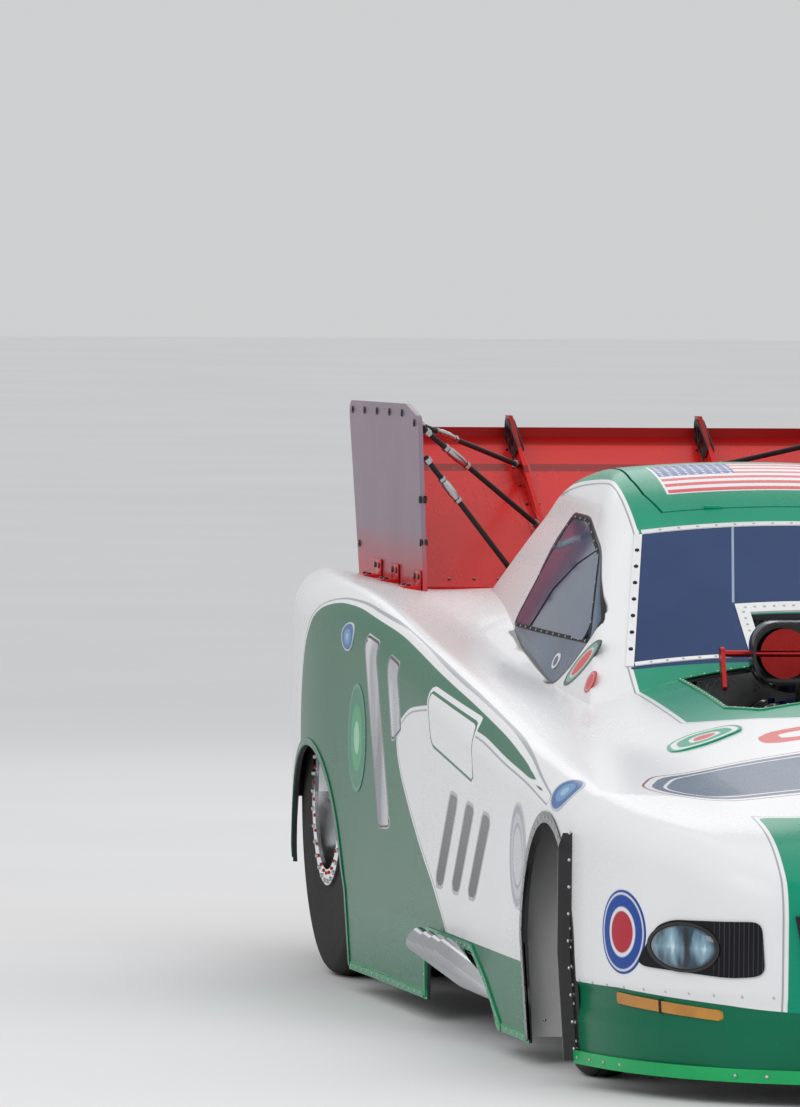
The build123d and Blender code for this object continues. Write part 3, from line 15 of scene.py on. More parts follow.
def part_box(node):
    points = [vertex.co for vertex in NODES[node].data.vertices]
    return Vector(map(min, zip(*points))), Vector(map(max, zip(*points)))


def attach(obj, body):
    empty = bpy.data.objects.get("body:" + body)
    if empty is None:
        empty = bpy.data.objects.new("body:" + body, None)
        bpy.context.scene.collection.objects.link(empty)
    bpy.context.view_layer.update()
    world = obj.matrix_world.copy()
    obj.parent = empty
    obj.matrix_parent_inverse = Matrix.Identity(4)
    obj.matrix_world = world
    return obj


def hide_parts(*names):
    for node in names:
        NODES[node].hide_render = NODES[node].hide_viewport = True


bl_info = {
    "name": "Drag Racing Car",
    "version": (1, 0, 0),
    "blender": (4, 5, 0),
    "location": "View3D > Sidebar > Drag Car",
    "description": "Paint, tyres, glass, rivets, soft goods and studio of a nitro drag racing car",
    "category": "Add Mesh",
}

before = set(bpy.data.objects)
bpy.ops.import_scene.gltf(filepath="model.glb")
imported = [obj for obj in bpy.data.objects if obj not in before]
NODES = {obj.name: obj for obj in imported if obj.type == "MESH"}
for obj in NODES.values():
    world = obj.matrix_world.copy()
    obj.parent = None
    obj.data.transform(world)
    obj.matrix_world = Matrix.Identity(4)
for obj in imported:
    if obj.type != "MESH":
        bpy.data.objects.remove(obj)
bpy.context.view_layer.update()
FRONT_Y = (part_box("front_axle")[0].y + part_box("front_axle")[1].y) / 2

# Body stations: aft, half width, crest height, crest radius, valley height, crown height
BODY_STATIONS = np.array((
    (-0.955, 0.430, 0.425, 0.070, 0.425, 0.448), (-0.900, 0.590, 0.478, 0.072, 0.480, 0.500),
    (-0.780, 0.750, 0.560, 0.078, 0.562, 0.585), (-0.560, 0.884, 0.620, 0.085, 0.618, 0.645),
    (-0.281, 0.960, 0.660, 0.090, 0.650, 0.692), (0.600, 0.966, 0.735, 0.092, 0.708, 0.820),
    (1.400, 0.966, 0.833, 0.092, 0.770, 0.882), (2.100, 0.972, 0.913, 0.095, 0.808, 0.905),
    (2.750, 0.984, 0.987, 0.100, 0.895, 0.952), (3.400, 0.980, 1.006, 0.100, 0.958, 0.977),
    (4.100, 0.872, 1.003, 0.090, 0.952, 0.965),
))
NOSE_STATIONS = 5
SILL_Z, FOLD_Z, TUCK, VALLEY_SHARE, WALL = 0.052, 0.305, 0.018, 0.64, 0.012
BODY_END = 4.100

# Wheels: the axle's place and height, and the tyre's middle
WHEELBASE = 3.175
FRONT_HUB, FRONT_WHEEL_X = (FRONT_Y, 0.285), 0.830
REAR_HUB, REAR_WHEEL_X = (FRONT_Y + WHEELBASE, 0.457), 0.724

# Arches: axle's place, height of the upright legs, half width and height of the crown
FRONT_ARCH = (0, 0.285, 0.283, 0.578)
REAR_ARCH = (WHEELBASE, 0.250, 0.500, 0.585)

# Spoiler: place and height of its foot, depth and height of its top, and the way out of its upper face
SPOILER_AFT, SPOILER_FOOT_Z, SPOILER_DEPTH, SPOILER_TOP_Z = 3.600, 0.972, 0.820, 1.338
SPOILER_OUT, SPOILER_ALONG = (0, -0.4077, 0.9131), (0, 0.9131, 0.4077)
PLATE_X, PLATE_TOE, FIN_X = 0.6403, 0.035, 0.256
BLOWER_Z = 0.6375

# Cabin stations: aft, half width at the base, at the eave and at the roof's edge
CABIN_STATIONS = np.array(((1.230, 0.608, 0.436, 0.352), (2.400, 0.612, 0.434, 0.350),
                           (3.580, 0.560, 0.340, 0.262)))
CABIN_BASE_Z, EAVE_Z, ROOF_SIDE_Z, CROWN_AXIS_Z = 0.780, 1.195, 1.312, -1.900
SCREEN_TOP, ROOF_PEAK, FASTBACK, SCREEN_SLOPE = (1.930, 1.190), (2.460, 1.330), (3.560, 0.955), 0.587


COLOUR = {"subtype": "COLOR", "size": 4, "min": 0, "max": 1}


class PaintColours(bpy.types.PropertyGroup):
    white: FloatVectorProperty(name="White", description="Main colour of the body", **COLOUR,
                               default=(0.80, 0.80, 0.81, 1))
    green: FloatVectorProperty(name="Green", description="Colour of the hood, roof and quarter panels",
                               **COLOUR, default=(0.004, 0.30, 0.17, 1))
    deep_green: FloatVectorProperty(name="Deep green", description="Colour of the sills and the valance",
                                    **COLOUR, default=(0.003, 0.13, 0.065, 1))
    red: FloatVectorProperty(name="Red", description="Colour of the spoiler", **COLOUR,
                             default=(0.60, 0.010, 0.008, 1))
    slate: FloatVectorProperty(name="Slate", description="Colour of the dark bands", **COLOUR,
                               default=(0.055, 0.085, 0.135, 1))
    # Painted reflection: this mauve stands for the pale sky reflected on the red end plates, not for their own
    # colour.
    plate: FloatVectorProperty(name="End plate", description="Colour of the spoiler's end plates", **COLOUR,
                               default=(0.27, 0.20, 0.26, 1))


class CarSizes(bpy.types.PropertyGroup):
    rivet: FloatProperty(name="Rivet", description="Radius of a rivet's head", default=0.0055, min=0.002,
                         max=0.01, unit="LENGTH")
    rivet_step: FloatProperty(name="Rivet step", description="Distance between two rivets", default=0.055,
                              min=0.02, max=0.3, unit="LENGTH")
    rows: IntProperty(name="Body rows", description="Rows of faces along the body", default=250, min=60,
                      max=400)
    camera_lens: FloatProperty(name="Lens", description="Focal length of the camera in millimetres",
                               default=383.3, min=50, max=800)


# Every finish by name, filled by the first operator
FINISHES = {}


# Surfaces worked out as arrays

def through(places, values, where):
    """Cubic spline with free ends: on each span the value is a cubic whose second derivative runs
    straight between the knots."""
    h = np.diff(places)
    count = len(places)
    system = np.eye(count)
    right = np.zeros(values.shape)
    for i in range(1, count - 1):
        system[i, i - 1:i + 2] = h[i - 1], 2 * (h[i - 1] + h[i]), h[i]
        right[i] = 6 * ((values[i + 1] - values[i]) / h[i] - (values[i] - values[i - 1]) / h[i - 1])
    bend = np.linalg.solve(system, right)
    k = np.clip(np.searchsorted(places, where) - 1, 0, count - 2)
    t = (where - places[k])[:, None]
    span = h[k][:, None]
    slope = (values[k + 1] - values[k]) / span - span * (2 * bend[k] + bend[k + 1]) / 6
    return values[k] + t * slope + t * t * bend[k] / 2 + t ** 3 * (bend[k + 1] - bend[k]) / (6 * span)


def body_values(aft):
    """Half width, crest height, crest radius, valley and crown height at each place: two splines that
    meet at the front arch."""
    nose = through(BODY_STATIONS[:NOSE_STATIONS, 0], BODY_STATIONS[:NOSE_STATIONS, 1:], aft)
    rest = through(BODY_STATIONS[NOSE_STATIONS - 1:, 0], BODY_STATIONS[NOSE_STATIONS - 1:, 1:], aft)
    return np.where((aft < BODY_STATIONS[NOSE_STATIONS - 1, 0])[:, None], nose, rest).T


def side_x(aft, z, proud=0.0):
    """Half width of the body at a height: it widens up to the fold, stands upright, then follows the
    crest's quarter circle."""
    shape = np.shape(aft)
    half, crest, bend = [v.reshape(shape) for v in body_values(np.ravel(aft))[:3]]
    low = half - TUCK * (FOLD_Z - z) / (FOLD_Z - SILL_Z)
    over = np.clip(z - (crest - bend), 0, bend)
    arc = half - bend + np.sqrt(bend ** 2 - over ** 2)
    return np.where(z < FOLD_Z, low, arc) + proud


def top_z(aft, x, proud=0.0):
    """Height of the body's upper face: a crown arc to the valley, a straight rise to the crest, then
    the crest's quarter circle."""
    shape = np.shape(aft)
    half, crest, bend, valley, crown = [v.reshape(shape) for v in body_values(np.ravel(aft))]
    x = np.abs(x)
    valley_x = VALLEY_SHARE * half
    rise = np.where(np.abs(crown - valley) < 1e-5, 1e-5, crown - valley)
    radius = (valley_x ** 2 + rise ** 2) / (2 * rise)
    arc = crown - radius + np.sign(radius) * np.sqrt(np.maximum(radius ** 2 - x ** 2, 0))
    share = np.clip((x - valley_x) / (half - bend - valley_x), 0, 1)
    line = valley + share * (crest - valley)
    over = np.clip(x - (half - bend), 0, bend)
    edge = crest - bend + np.sqrt(bend ** 2 - over ** 2)
    return np.where(x < valley_x, arc, np.where(x < half - bend, line, edge)) + proud


def soften(rows, first, last, times):
    """Rounds the section's corners: between two columns, each point moves to the mean of itself and its
    neighbours' middle."""
    for _ in range(times):
        middle = (rows[:, first - 1:last - 1] + rows[:, first + 1:last + 1]) / 2
        rows[:, first:last] = (rows[:, first:last] + middle) / 2
    return rows


def body_rows(inset, base, count):
    """Sections of the body as (rows, columns, xyz): half a section from the sill over the crest to the
    middle, then mirrored."""
    start = BODY_STATIONS[0, 0] + (inset if inset > 0 else 0)
    end = BODY_STATIONS[-1, 0] - inset
    aft = np.concatenate((np.linspace(start, -0.28, count // 4, endpoint=False),
                          np.linspace(-0.28, end, count - count // 4)))
    half, crest, bend, valley, _ = body_values(aft)
    side, top, radius = half - inset, crest - inset, bend - inset
    low = np.linspace(0, 1, 16, endpoint=False)
    x = [(side - TUCK)[:, None] + TUCK * low]
    z = [base + (FOLD_Z - base) * low + 0 * side[:, None]]
    up = np.linspace(0, 1, 14, endpoint=False)
    x.append(side[:, None] + 0 * up)
    z.append(FOLD_Z + (top - radius - FOLD_Z)[:, None] * up)
    turn = np.linspace(0, pi / 2, 12, endpoint=False)
    x.append((side - radius)[:, None] + radius[:, None] * np.cos(turn))
    z.append((top - radius)[:, None] + radius[:, None] * np.sin(turn))
    valley_x = VALLEY_SHARE * half
    across = np.linspace(0, 1, 10, endpoint=False)
    x.append((side - radius)[:, None] + (valley_x - side + radius)[:, None] * across)
    z.append(top[:, None] + (valley - inset - top)[:, None] * across)
    in_x = valley_x[:, None] * np.linspace(1, 0, 20)
    x.append(in_x)
    z.append(top_z(np.repeat(aft[:, None], 20, 1), in_x) - inset)
    x, z = np.concatenate(x, 1), np.concatenate(z, 1)
    valance = ((-0.20 - aft).clip(0, 0.06)[:, None] / 0.06 * np.clip((z - 0.170) / 0.012, 0, 1)
               * np.clip((0.238 - z) / 0.010, 0, 1))
    x = x - 0.009 * valance
    half_rows = np.stack((x, np.repeat(aft[:, None], x.shape[1], 1) + FRONT_Y, z), 2)
    soften(half_rows, 14, 19, 1)
    soften(half_rows, 46, 60, 5)
    mirrored = half_rows[:, -2::-1] * (-1, 1, 1)
    return np.concatenate((half_rows, mirrored), 1)


def roof_line(aft):
    """Height of the cabin's middle line: the straight screen, an arc tangent to it up to the peak, and
    an arc down to the tail."""
    def arc(start, end, slope):
        normal = np.array((-slope, 1)) / np.hypot(1, slope)
        chord = np.array(end) - start
        radius = chord @ chord / (2 * (chord @ normal))
        middle = np.array(start) + normal * radius
        return middle[1] + np.sqrt(np.maximum(radius ** 2 - (aft - middle[0]) ** 2, 0))
    screen = SCREEN_TOP[1] - (SCREEN_TOP[0] - aft) * SCREEN_SLOPE
    roof = np.where(aft < ROOF_PEAK[0], arc(SCREEN_TOP, ROOF_PEAK, SCREEN_SLOPE), arc(ROOF_PEAK, FASTBACK, 0))
    return np.where(aft < SCREEN_TOP[0], screen, roof)


def crown_z(aft, x, proud=0.0):
    """Height of the screen and roof: the middle line turned about a lengthwise axis far below the car."""
    return CROWN_AXIS_Z + np.sqrt((roof_line(aft) + proud - CROWN_AXIS_Z) ** 2 - x ** 2)


def cabin_side_x(aft, z, proud=0.0):
    """Half width of the cabin at a height, up to the eave: straight from its foot to the eave."""
    shape = np.shape(aft)
    stations = through(CABIN_STATIONS[:, 0], CABIN_STATIONS[:, 1:], np.ravel(aft))
    foot, eave, _ = [v.reshape(shape) for v in stations.T]
    return foot + (eave - foot) * (z - CABIN_BASE_Z) / (EAVE_Z - CABIN_BASE_Z) + proud


def cabin_rows(inset, base, count):
    """Sections of the cabin: each side leans in to the eave and bends to the roof's edge, and the crown
    cuts it off."""
    aft = np.linspace(1.26, 3.555, count)
    foot, eave, roof = (through(CABIN_STATIONS[:, 0], CABIN_STATIONS[:, 1:], aft) - inset).T
    z = np.linspace(base, EAVE_Z, 40)
    x = foot[:, None] + (eave - foot)[:, None] * (z - CABIN_BASE_Z) / (EAVE_Z - CABIN_BASE_Z)
    t = np.linspace(0, 1.25, 26)[1:]
    brow = 0.42 * roof + 0.58 * eave + 0.010
    weights = (2 * (t - 0.5) * (t - 1), 4 * t * (1 - t), 2 * t * (t - 0.5))
    x = np.concatenate((x, eave[:, None] * weights[0] + brow[:, None] * weights[1]
                        + roof[:, None] * weights[2]), 1)
    bent = EAVE_Z * weights[0] + (0.45 * EAVE_Z + 0.55 * ROOF_SIDE_Z) * weights[1] + ROOF_SIDE_Z * weights[2]
    z = np.repeat(np.concatenate((z, bent))[None], count, 0)
    above = z - crown_z(aft[:, None], x, -1.15 * inset)
    k = np.clip(np.argmax(above > 0, 1), 1, None)
    rows = np.arange(count)
    cut = k - 1 + above[rows, k - 1] / (above[rows, k - 1] - above[rows, k])
    place = np.clip(cut, 0.5, None)[:, None] * np.linspace(0, 1, 26)
    lower = np.minimum(place.astype(int), x.shape[1] - 2)
    part = place - lower
    side = [np.take_along_axis(v, lower, 1) * (1 - part) + np.take_along_axis(v, lower + 1, 1) * part
            for v in (x, z)]
    over_x = side[0][:, -1:] * np.linspace(1, 0, 27)[1:]
    over_z = crown_z(aft[:, None], over_x, -1.15 * inset)
    half_rows = np.stack((np.concatenate((side[0], over_x), 1), np.repeat(aft[:, None], 52, 1) + FRONT_Y,
                          np.concatenate((side[1], over_z), 1)), 2)
    soften(half_rows, 21, 31, 3)
    return np.concatenate((half_rows, half_rows[:, -2::-1] * (-1, 1, 1)), 1)


# Meshes

def grid_faces(rows, columns, round_rows=False, round_columns=False, start=0):
    """Quads between neighbouring points of a grid of rows by columns."""
    i, j = np.meshgrid(np.arange(rows - (not round_rows)), np.arange(columns - (not round_columns)),
                       indexing="ij")
    i2, j2 = (i + 1) % rows, (j + 1) % columns
    return (start + np.stack((i * columns + j, i * columns + j2, i2 * columns + j2, i2 * columns + j),
                             -1)).reshape(-1, 4)


def new_piece(name, points, faces, *finishes, angle=0.6):
    """A mesh object at the origin from an array of points and a list of faces, shaded smooth below an angle."""
    mesh = bpy.data.meshes.new(name)
    mesh.from_pydata(np.asarray(points, float).reshape(-1, 3), [],
                     faces if isinstance(faces, list) else faces.tolist())
    for finish in finishes:
        mesh.materials.append(FINISHES[finish])
    piece = bpy.data.objects.new(name, mesh)
    bpy.context.scene.collection.objects.link(piece)
    tidy(piece, angle)
    return piece


def tidy(piece, angle=0.6, turn=True):
    """Merges doubles, points the faces outwards and marks edges sharper than the angle."""
    work = bmesh.new()
    work.from_mesh(piece.data)
    bmesh.ops.remove_doubles(work, verts=work.verts, dist=1e-5)
    bmesh.ops.dissolve_degenerate(work, edges=work.edges, dist=1e-6)
    if turn:
        bmesh.ops.recalc_face_normals(work, faces=work.faces)
    work.to_mesh(piece.data)
    work.free()
    piece.data.shade_smooth()
    piece.data.set_sharp_from_angle(angle=angle)


def closed_rows(name, rows, *finishes, angle=0.6):
    """A closed form through whole sections: each section is a ring, and a face closes each end."""
    n, m = rows.shape[:2]
    faces = grid_faces(n, m, round_columns=True).tolist()
    faces += [list(range(m))[::-1], list(range((n - 1) * m, n * m))]
    return new_piece(name, rows, faces, *finishes, angle=angle)


def tube_points(path, radius, sides=12):
    """Rings along a path: each ring is square to the path's direction there."""
    path = np.asarray(path, float)
    way = np.gradient(path, axis=0)
    way /= np.linalg.norm(way, axis=1)[:, None]
    spread = path[-1] - path[0]
    up = (np.array((0, 0, 1.0)) if abs(way[:, 2]).max() < 0.9
          else np.array((1.0, 0.13, 0) if abs(spread[0]) < abs(spread[1]) + abs(spread[2]) else (0, 1.0, 0)))
    one = np.cross(way, up)
    one /= np.linalg.norm(one, axis=1)[:, None]
    two = np.cross(one, way)
    a = np.linspace(0, 2 * pi, sides, endpoint=False)
    radius = np.broadcast_to(np.asarray(radius, float), (len(path),))[:, None, None]
    return (path[:, None] + radius * (one[:, None] * np.cos(a)[None, :, None]
                                      + two[:, None] * np.sin(a)[None, :, None]))


def tubes(name, paths, radius, *finishes, sides=12):
    """Closed round tubes along several paths, joined in one piece."""
    points, faces, start = [], [], 0
    for path in paths:
        rings = tube_points(path, radius, sides)
        n = len(rings)
        points.append(rings.reshape(-1, 3))
        faces += grid_faces(n, sides, False, True, start).tolist()
        last = start + (n - 1) * sides
        faces += [list(range(start, start + sides))[::-1], list(range(last, last + sides))]
        start += n * sides
    return new_piece(name, np.concatenate(points), faces, *finishes)


def bent(points, count=24):
    """A smooth path near a few points: a quadratic spline that starts and ends on the first and last,
    with the others as its corners."""
    points = np.asarray(points, float)
    middles = ((points[:-1] + points[1:]) / 2)[1:-1]
    starts = np.concatenate((points[:1], middles))
    ends = np.concatenate((middles, points[-1:]))
    corners = points[1:-1] if len(points) > 2 else (points[:1] + points[-1:]) / 2
    t = np.linspace(0, 1, count)[None, :, None]
    runs = starts[:, None] * (1 - t) ** 2 + 2 * corners[:, None] * t * (1 - t) + ends[:, None] * t * t
    path = runs.reshape(-1, 3)
    return path[np.concatenate(([True], np.linalg.norm(np.diff(path, axis=0), axis=1) > 1e-6))]


HEXAGON = {"sides": 6, "flat": 0.8}


def heads(name, places, normals, radius, height, *finishes, sides=8, flat=0.55):
    """Low round heads on a surface: one ring outline, repeated at every place and turned to its normal."""
    places, normals = np.atleast_2d(places).astype(float), np.atleast_2d(normals).astype(float)
    normals = np.broadcast_to(normals, places.shape) / np.linalg.norm(normals, axis=1)[:, None]
    side = np.cross(normals, np.where(np.abs(normals[:, :1]) < 0.8, (1.0, 0, 0), (0, 1.0, 0)))
    side /= np.linalg.norm(side, axis=1)[:, None]
    other = np.cross(normals, side)
    a = np.linspace(0, 2 * pi, sides, endpoint=False)
    outline = np.array(((1, -0.6), (1, 0.15), (flat, 0.8), (0.02, 1)))
    r, h = outline[:, 0] * radius, outline[:, 1] * height
    ring = (side[:, None, None] * np.cos(a)[None, None, :, None]
            + other[:, None, None] * np.sin(a)[None, None, :, None])
    points = (places[:, None, None] + ring * r[None, :, None, None]
              + normals[:, None, None] * h[None, :, None, None])
    one = grid_faces(4, sides, False, True)
    caps = np.array([[0] + [sides - k for k in range(1, sides)]])
    tops = 3 * sides + np.arange(sides)[None]
    start = (np.arange(len(places)) * 4 * sides)[:, None, None]
    faces = ((one[None] + start).reshape(-1, 4).tolist() + (caps[None] + start).reshape(-1, sides).tolist()
             + (tops[None] + start).reshape(-1, sides).tolist())
    return new_piece(name, points, faces, *finishes)


def blocks(name, boxes, radius, *finishes):
    """Boxes with rounded edges, each given as centre and size: a ball's points pushed out to the box's
    eight corners."""
    u = np.concatenate([np.linspace(q, q + pi / 2, 4) for q in np.arange(4) * pi / 2])
    v = np.concatenate((np.linspace(-pi / 2, 0, 4), np.linspace(0, pi / 2, 4)))
    v, u = np.meshgrid(v, u, indexing="ij")
    ball = np.stack((np.cos(v) * np.cos(u), np.cos(v) * np.sin(u), np.sin(v)), 2)
    quarter = np.repeat(np.arange(4), 4)
    corner = np.stack((np.where((quarter == 0) | (quarter == 3), 1, -1) + 0 * v,
                       np.where(quarter < 2, 1, -1) + 0 * v, np.repeat((-1, 1), 4)[:, None] + 0 * u), 2)
    points, faces = [], []
    for k, (centre, size) in enumerate(boxes):
        half = np.array(size) / 2
        r = min(radius, half.min() * 0.9)
        points.append((np.array(centre) + ball * r + corner * (half - r)).reshape(-1, 3))
        start = k * 128
        faces += (grid_faces(8, 16, False, True, start).tolist()
                  + [list(range(start, start + 16))[::-1], list(range(start + 112, start + 128))])
    return new_piece(name, np.concatenate(points), faces, *finishes, angle=0.9)


def prism(name, outline, low, high, along):
    """A straight-sided cutter over an outline: along 2 it stands on (x, aft), along 0 it lies across
    the car on (aft, z)."""
    outline = np.array(outline, float)
    points = []
    for level in (low, high):
        first, second = outline.T
        flat = np.full(len(outline), level)
        points.append(np.stack((first, second + FRONT_Y, flat)
                               if along == 2 else (flat, first + FRONT_Y, second), 1))
    n = len(outline)
    i = np.arange(n)
    faces = (np.stack((i, (i + 1) % n, (i + 1) % n + n, i + n), 1).tolist()
             + [list(range(n)), list(range(2 * n - 1, n - 1, -1))])
    return new_piece(name, np.concatenate(points), faces)


def settled(piece):
    """Takes a piece's modifiers into its mesh."""
    graph = bpy.context.evaluated_depsgraph_get()
    mesh = bpy.data.meshes.new_from_object(piece.evaluated_get(graph))
    piece.modifiers.clear()
    old, piece.data = piece.data, mesh
    bpy.data.meshes.remove(old)
    return piece


def combine(piece, other, kind):
    """Cuts another closed form out of a piece, or joins it on, and removes it."""
    step = piece.modifiers.new(kind, "BOOLEAN")
    step.operation = kind
    step.solver = "MANIFOLD"
    step.object = other
    settled(piece)
    bpy.data.objects.remove(other)
    return piece


def both_sides(points):
    """A half outline of (x, aft), mirrored into a whole one."""
    return list(points) + [(-x, place) for x, place in points[::-1]]


def rounded(outline, radius, count=6):
    """An outline whose corners are quarter-like bends: each corner becomes a quadratic curve between
    two points near it."""
    p = np.array(outline, float)
    back, on = np.roll(p, 1, 0) - p, np.roll(p, -1, 0) - p
    near, far = [np.linalg.norm(v, axis=1) for v in (back, on)]
    cut = np.minimum(radius, 0.45 * np.minimum(near, far))[:, None]
    a, b = p + back / near[:, None] * cut, p + on / far[:, None] * cut
    t = np.linspace(0, 1, count)[None, :, None]
    return (a[:, None] * (1 - t) ** 2 + 2 * p[:, None] * t * (1 - t) + b[:, None] * t * t).reshape(-1, 2)


def inside(outline, first, second):
    """Signed distance to an outline in two coordinates, below zero inside it: the least distance to its
    sides."""
    p = np.array(outline, float)
    q = np.roll(p, -1, 0)
    point = np.stack((first, second), -1)
    best = np.full(len(point), 1e9)
    odd = np.zeros(len(point), bool)
    for a, b in zip(p, q):
        side = b - a
        share = np.clip(((point - a) @ side) / (side @ side), 0, 1)
        best = np.minimum(best, np.linalg.norm(point - a - share[:, None] * side, axis=1))
        crosses = (a[1] > second) != (b[1] > second)
        reach = a[0] + (second - a[1]) * (b[0] - a[0]) / (b[1] - a[1] if b[1] != a[1] else 1e-12)
        odd ^= crosses & (first < reach)
    return np.where(odd, -best, best)


def carry(piece, name, values):
    """Stores a value for each point of the mesh, which a material reads."""
    attribute = piece.data.attributes.new(name, "FLOAT", "POINT")
    attribute.data.foreach_set("value", np.asarray(values, np.float32))


def points_of(piece):
    """The mesh's points as x, aft and z arrays."""
    co = np.empty(len(piece.data.vertices) * 3, np.float32)
    piece.data.vertices.foreach_get("co", co)
    x, y, z = co.reshape(-1, 3).astype(float).T
    return x, y - FRONT_Y, z


# Places on the surfaces: two coordinates, then how far the place stands off

def on_side(aft, z, proud=0.0):
    """A place on the body's left side."""
    return np.stack(np.broadcast_arrays(side_x(aft, z, proud), aft + FRONT_Y, z), -1)


def on_top(x, aft, proud=0.0):
    """A place on the body's upper face."""
    return np.stack(np.broadcast_arrays(x, aft + FRONT_Y, top_z(aft, x, proud)), -1)


def on_crest(aft, turn, proud=0.0):
    """A place on the left fender crest, by how far round its bend it lies."""
    aft, turn, proud = np.broadcast_arrays(aft, turn, proud)
    half, crest, bend = body_values(np.ravel(aft))[:3]
    reach = bend + proud
    return np.stack((half - bend + reach * np.cos(turn), aft + FRONT_Y, crest - bend + reach * np.sin(turn)),
                    -1)


def on_cabin(aft, z, proud=0.0):
    """A place on the cabin's left side."""
    return np.stack(np.broadcast_arrays(cabin_side_x(aft, z, proud), aft + FRONT_Y, z), -1)


def on_crown(x, aft, proud=0.0):
    """A place on the windscreen or the roof."""
    return np.stack(np.broadcast_arrays(x, aft + FRONT_Y, crown_z(aft, x, proud)), -1)


def on_nose(x, z, proud=0.0):
    """A place on the nose: where the half width at that height reaches x, moved off along the plan
    curve's normal."""
    x, z, proud = [v.ravel() for v in np.broadcast_arrays(*[np.asarray(v, float) for v in (x, z, proud)])]
    aft = np.linspace(BODY_STATIONS[0, 0], -0.2, 140)
    width = side_x(np.broadcast_to(aft, (len(x), 140)), np.repeat(z[:, None], 140, 1))
    k = np.clip((width < np.abs(x)[:, None]).sum(1), 1, 139)
    low, high = width[np.arange(len(x)), k - 1], width[np.arange(len(x)), k]
    share = np.clip((np.abs(x) - low) / (high - low), 0, 1)
    slope = np.where(np.abs(x) < low, 1e3, (high - low) / (aft[1] - aft[0]))
    off = proud / np.hypot(1, slope)
    return np.stack((x + np.sign(x) * off, aft[k - 1] + share * (aft[1] - aft[0]) - off * slope + FRONT_Y, z),
                    -1)


def facing(place, first, second):
    """The surface's outward normals, from its slopes in both directions."""
    e = 0.003
    one = place(first + e, second, 0.0) - place(first - e, second, 0.0)
    two = place(first, second + e, 0.0) - place(first, second - e, 0.0)
    normal = np.cross(one, two)
    out = place(first, second, 0.01) - place(first, second, 0.0)
    return normal * np.sign((normal * out).sum(-1, keepdims=True))


def twice(points, faces):
    """The same form on both sides of the car."""
    points = np.asarray(points, float).reshape(-1, 3)
    return (np.concatenate((points, points * (-1, 1, 1))), list(faces)
            + [[k + len(points) for k in f] for f in faces])


def spread(points, count):
    """Points at equal steps along a line of straight runs."""
    points = np.asarray(points, float)
    length = np.concatenate(([0], np.cumsum(np.linalg.norm(np.diff(points, axis=0), axis=1))))
    where = np.linspace(0, length[-1], count)
    return np.stack([np.interp(where, length, c) for c in points.T], 1)


def oval(first, second, reach, tilt=0.0, count=56):
    """An ellipse in two coordinates, turned by an angle."""
    a = np.linspace(0, 2 * pi, count, endpoint=False)
    u, v = reach[0] * np.cos(a), reach[1] * np.sin(a)
    return np.stack((first + u * np.cos(tilt) - v * np.sin(tilt), second + u * np.sin(tilt) + v * np.cos(tilt)),
                    1)


def patch(name, outline, place, finish, lift=0.0012, sink=-0.004, rings=6, count=64, mirror=True):
    """A thin plate or film on a surface: its outline drawn in towards the middle in rings, with a skirt
    that sinks in."""
    outline = np.asarray(outline, float)
    outline = spread(np.concatenate((outline, outline[:1])), count + 1)[:-1]
    middle = (outline.max(0) + outline.min(0)) / 2
    share = np.concatenate(([0.0], np.repeat(np.arange(1, rings + 1) / rings, count), np.ones(count)))
    flat = middle + share[:, None] * (np.concatenate((middle[None], np.tile(outline, (rings + 1, 1)))) - middle)
    top = 1 + rings * count
    high = lift(share[:top]) if callable(lift) else np.full(top, lift)
    points = place(flat[:, 0], flat[:, 1], np.concatenate((high, np.full(count, sink))))
    faces = ([[0, 1 + k, 1 + (k + 1) % count] for k in range(count)]
             + grid_faces(rings + 1, count, False, True, 1).tolist())
    faces.append(list(range(top, top + count)))
    if mirror:
        points, faces = twice(points, faces)
    piece = new_piece(name, points, faces, finish)
    carry(piece, "ring", np.tile(share, 2 if mirror else 1))
    return piece


def strip(name, path, width, place, finish, lift=0.002, sink=-0.004, mirror=True, closed=False):
    """A flat band along a line on a surface: five points across it, of which the outer two are sunk in."""
    path = np.asarray(path, float)
    way = np.roll(path, -1, 0) - np.roll(path, 1, 0) if closed else np.gradient(path, axis=0)
    way /= np.linalg.norm(way, axis=1)[:, None]
    across = np.stack((-way[:, 1], way[:, 0]), 1) * width
    columns = ((-0.5, sink), (-0.5, lift), (0.0, lift), (0.5, lift), (0.5, sink))
    points = np.stack([place(*(path + across * share).T, high) for share, high in columns], 1)
    n = len(path)
    faces = grid_faces(n, 5, closed, True).tolist()
    if not closed:
        faces += [list(range(5))[::-1], list(range((n - 1) * 5, n * 5))]
    if mirror:
        points, faces = twice(points, faces)
    return new_piece(name, points, faces, finish)


def studs(name, spots, place, radius, height, finish, lift=0.0, mirror=True, sides=8, flat=0.55):
    """Rivets or bolts on a surface, each turned to face out of it."""
    first, second = np.asarray(spots, float).T
    places, normals = place(first, second, lift), facing(place, first, second)
    if mirror:
        places, normals = [np.concatenate((v, v * (-1, 1, 1))) for v in (places, normals)]
    return heads(name, places, normals, radius, height, finish, sides=sides, flat=flat)


def seat(piece, body, slot=None, *nodes):
    """Puts a piece on its body and hides the nodes that it stands for. The slot is not used."""
    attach(piece, body)
    if nodes:
        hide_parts(*nodes)
    return piece


# Finishes

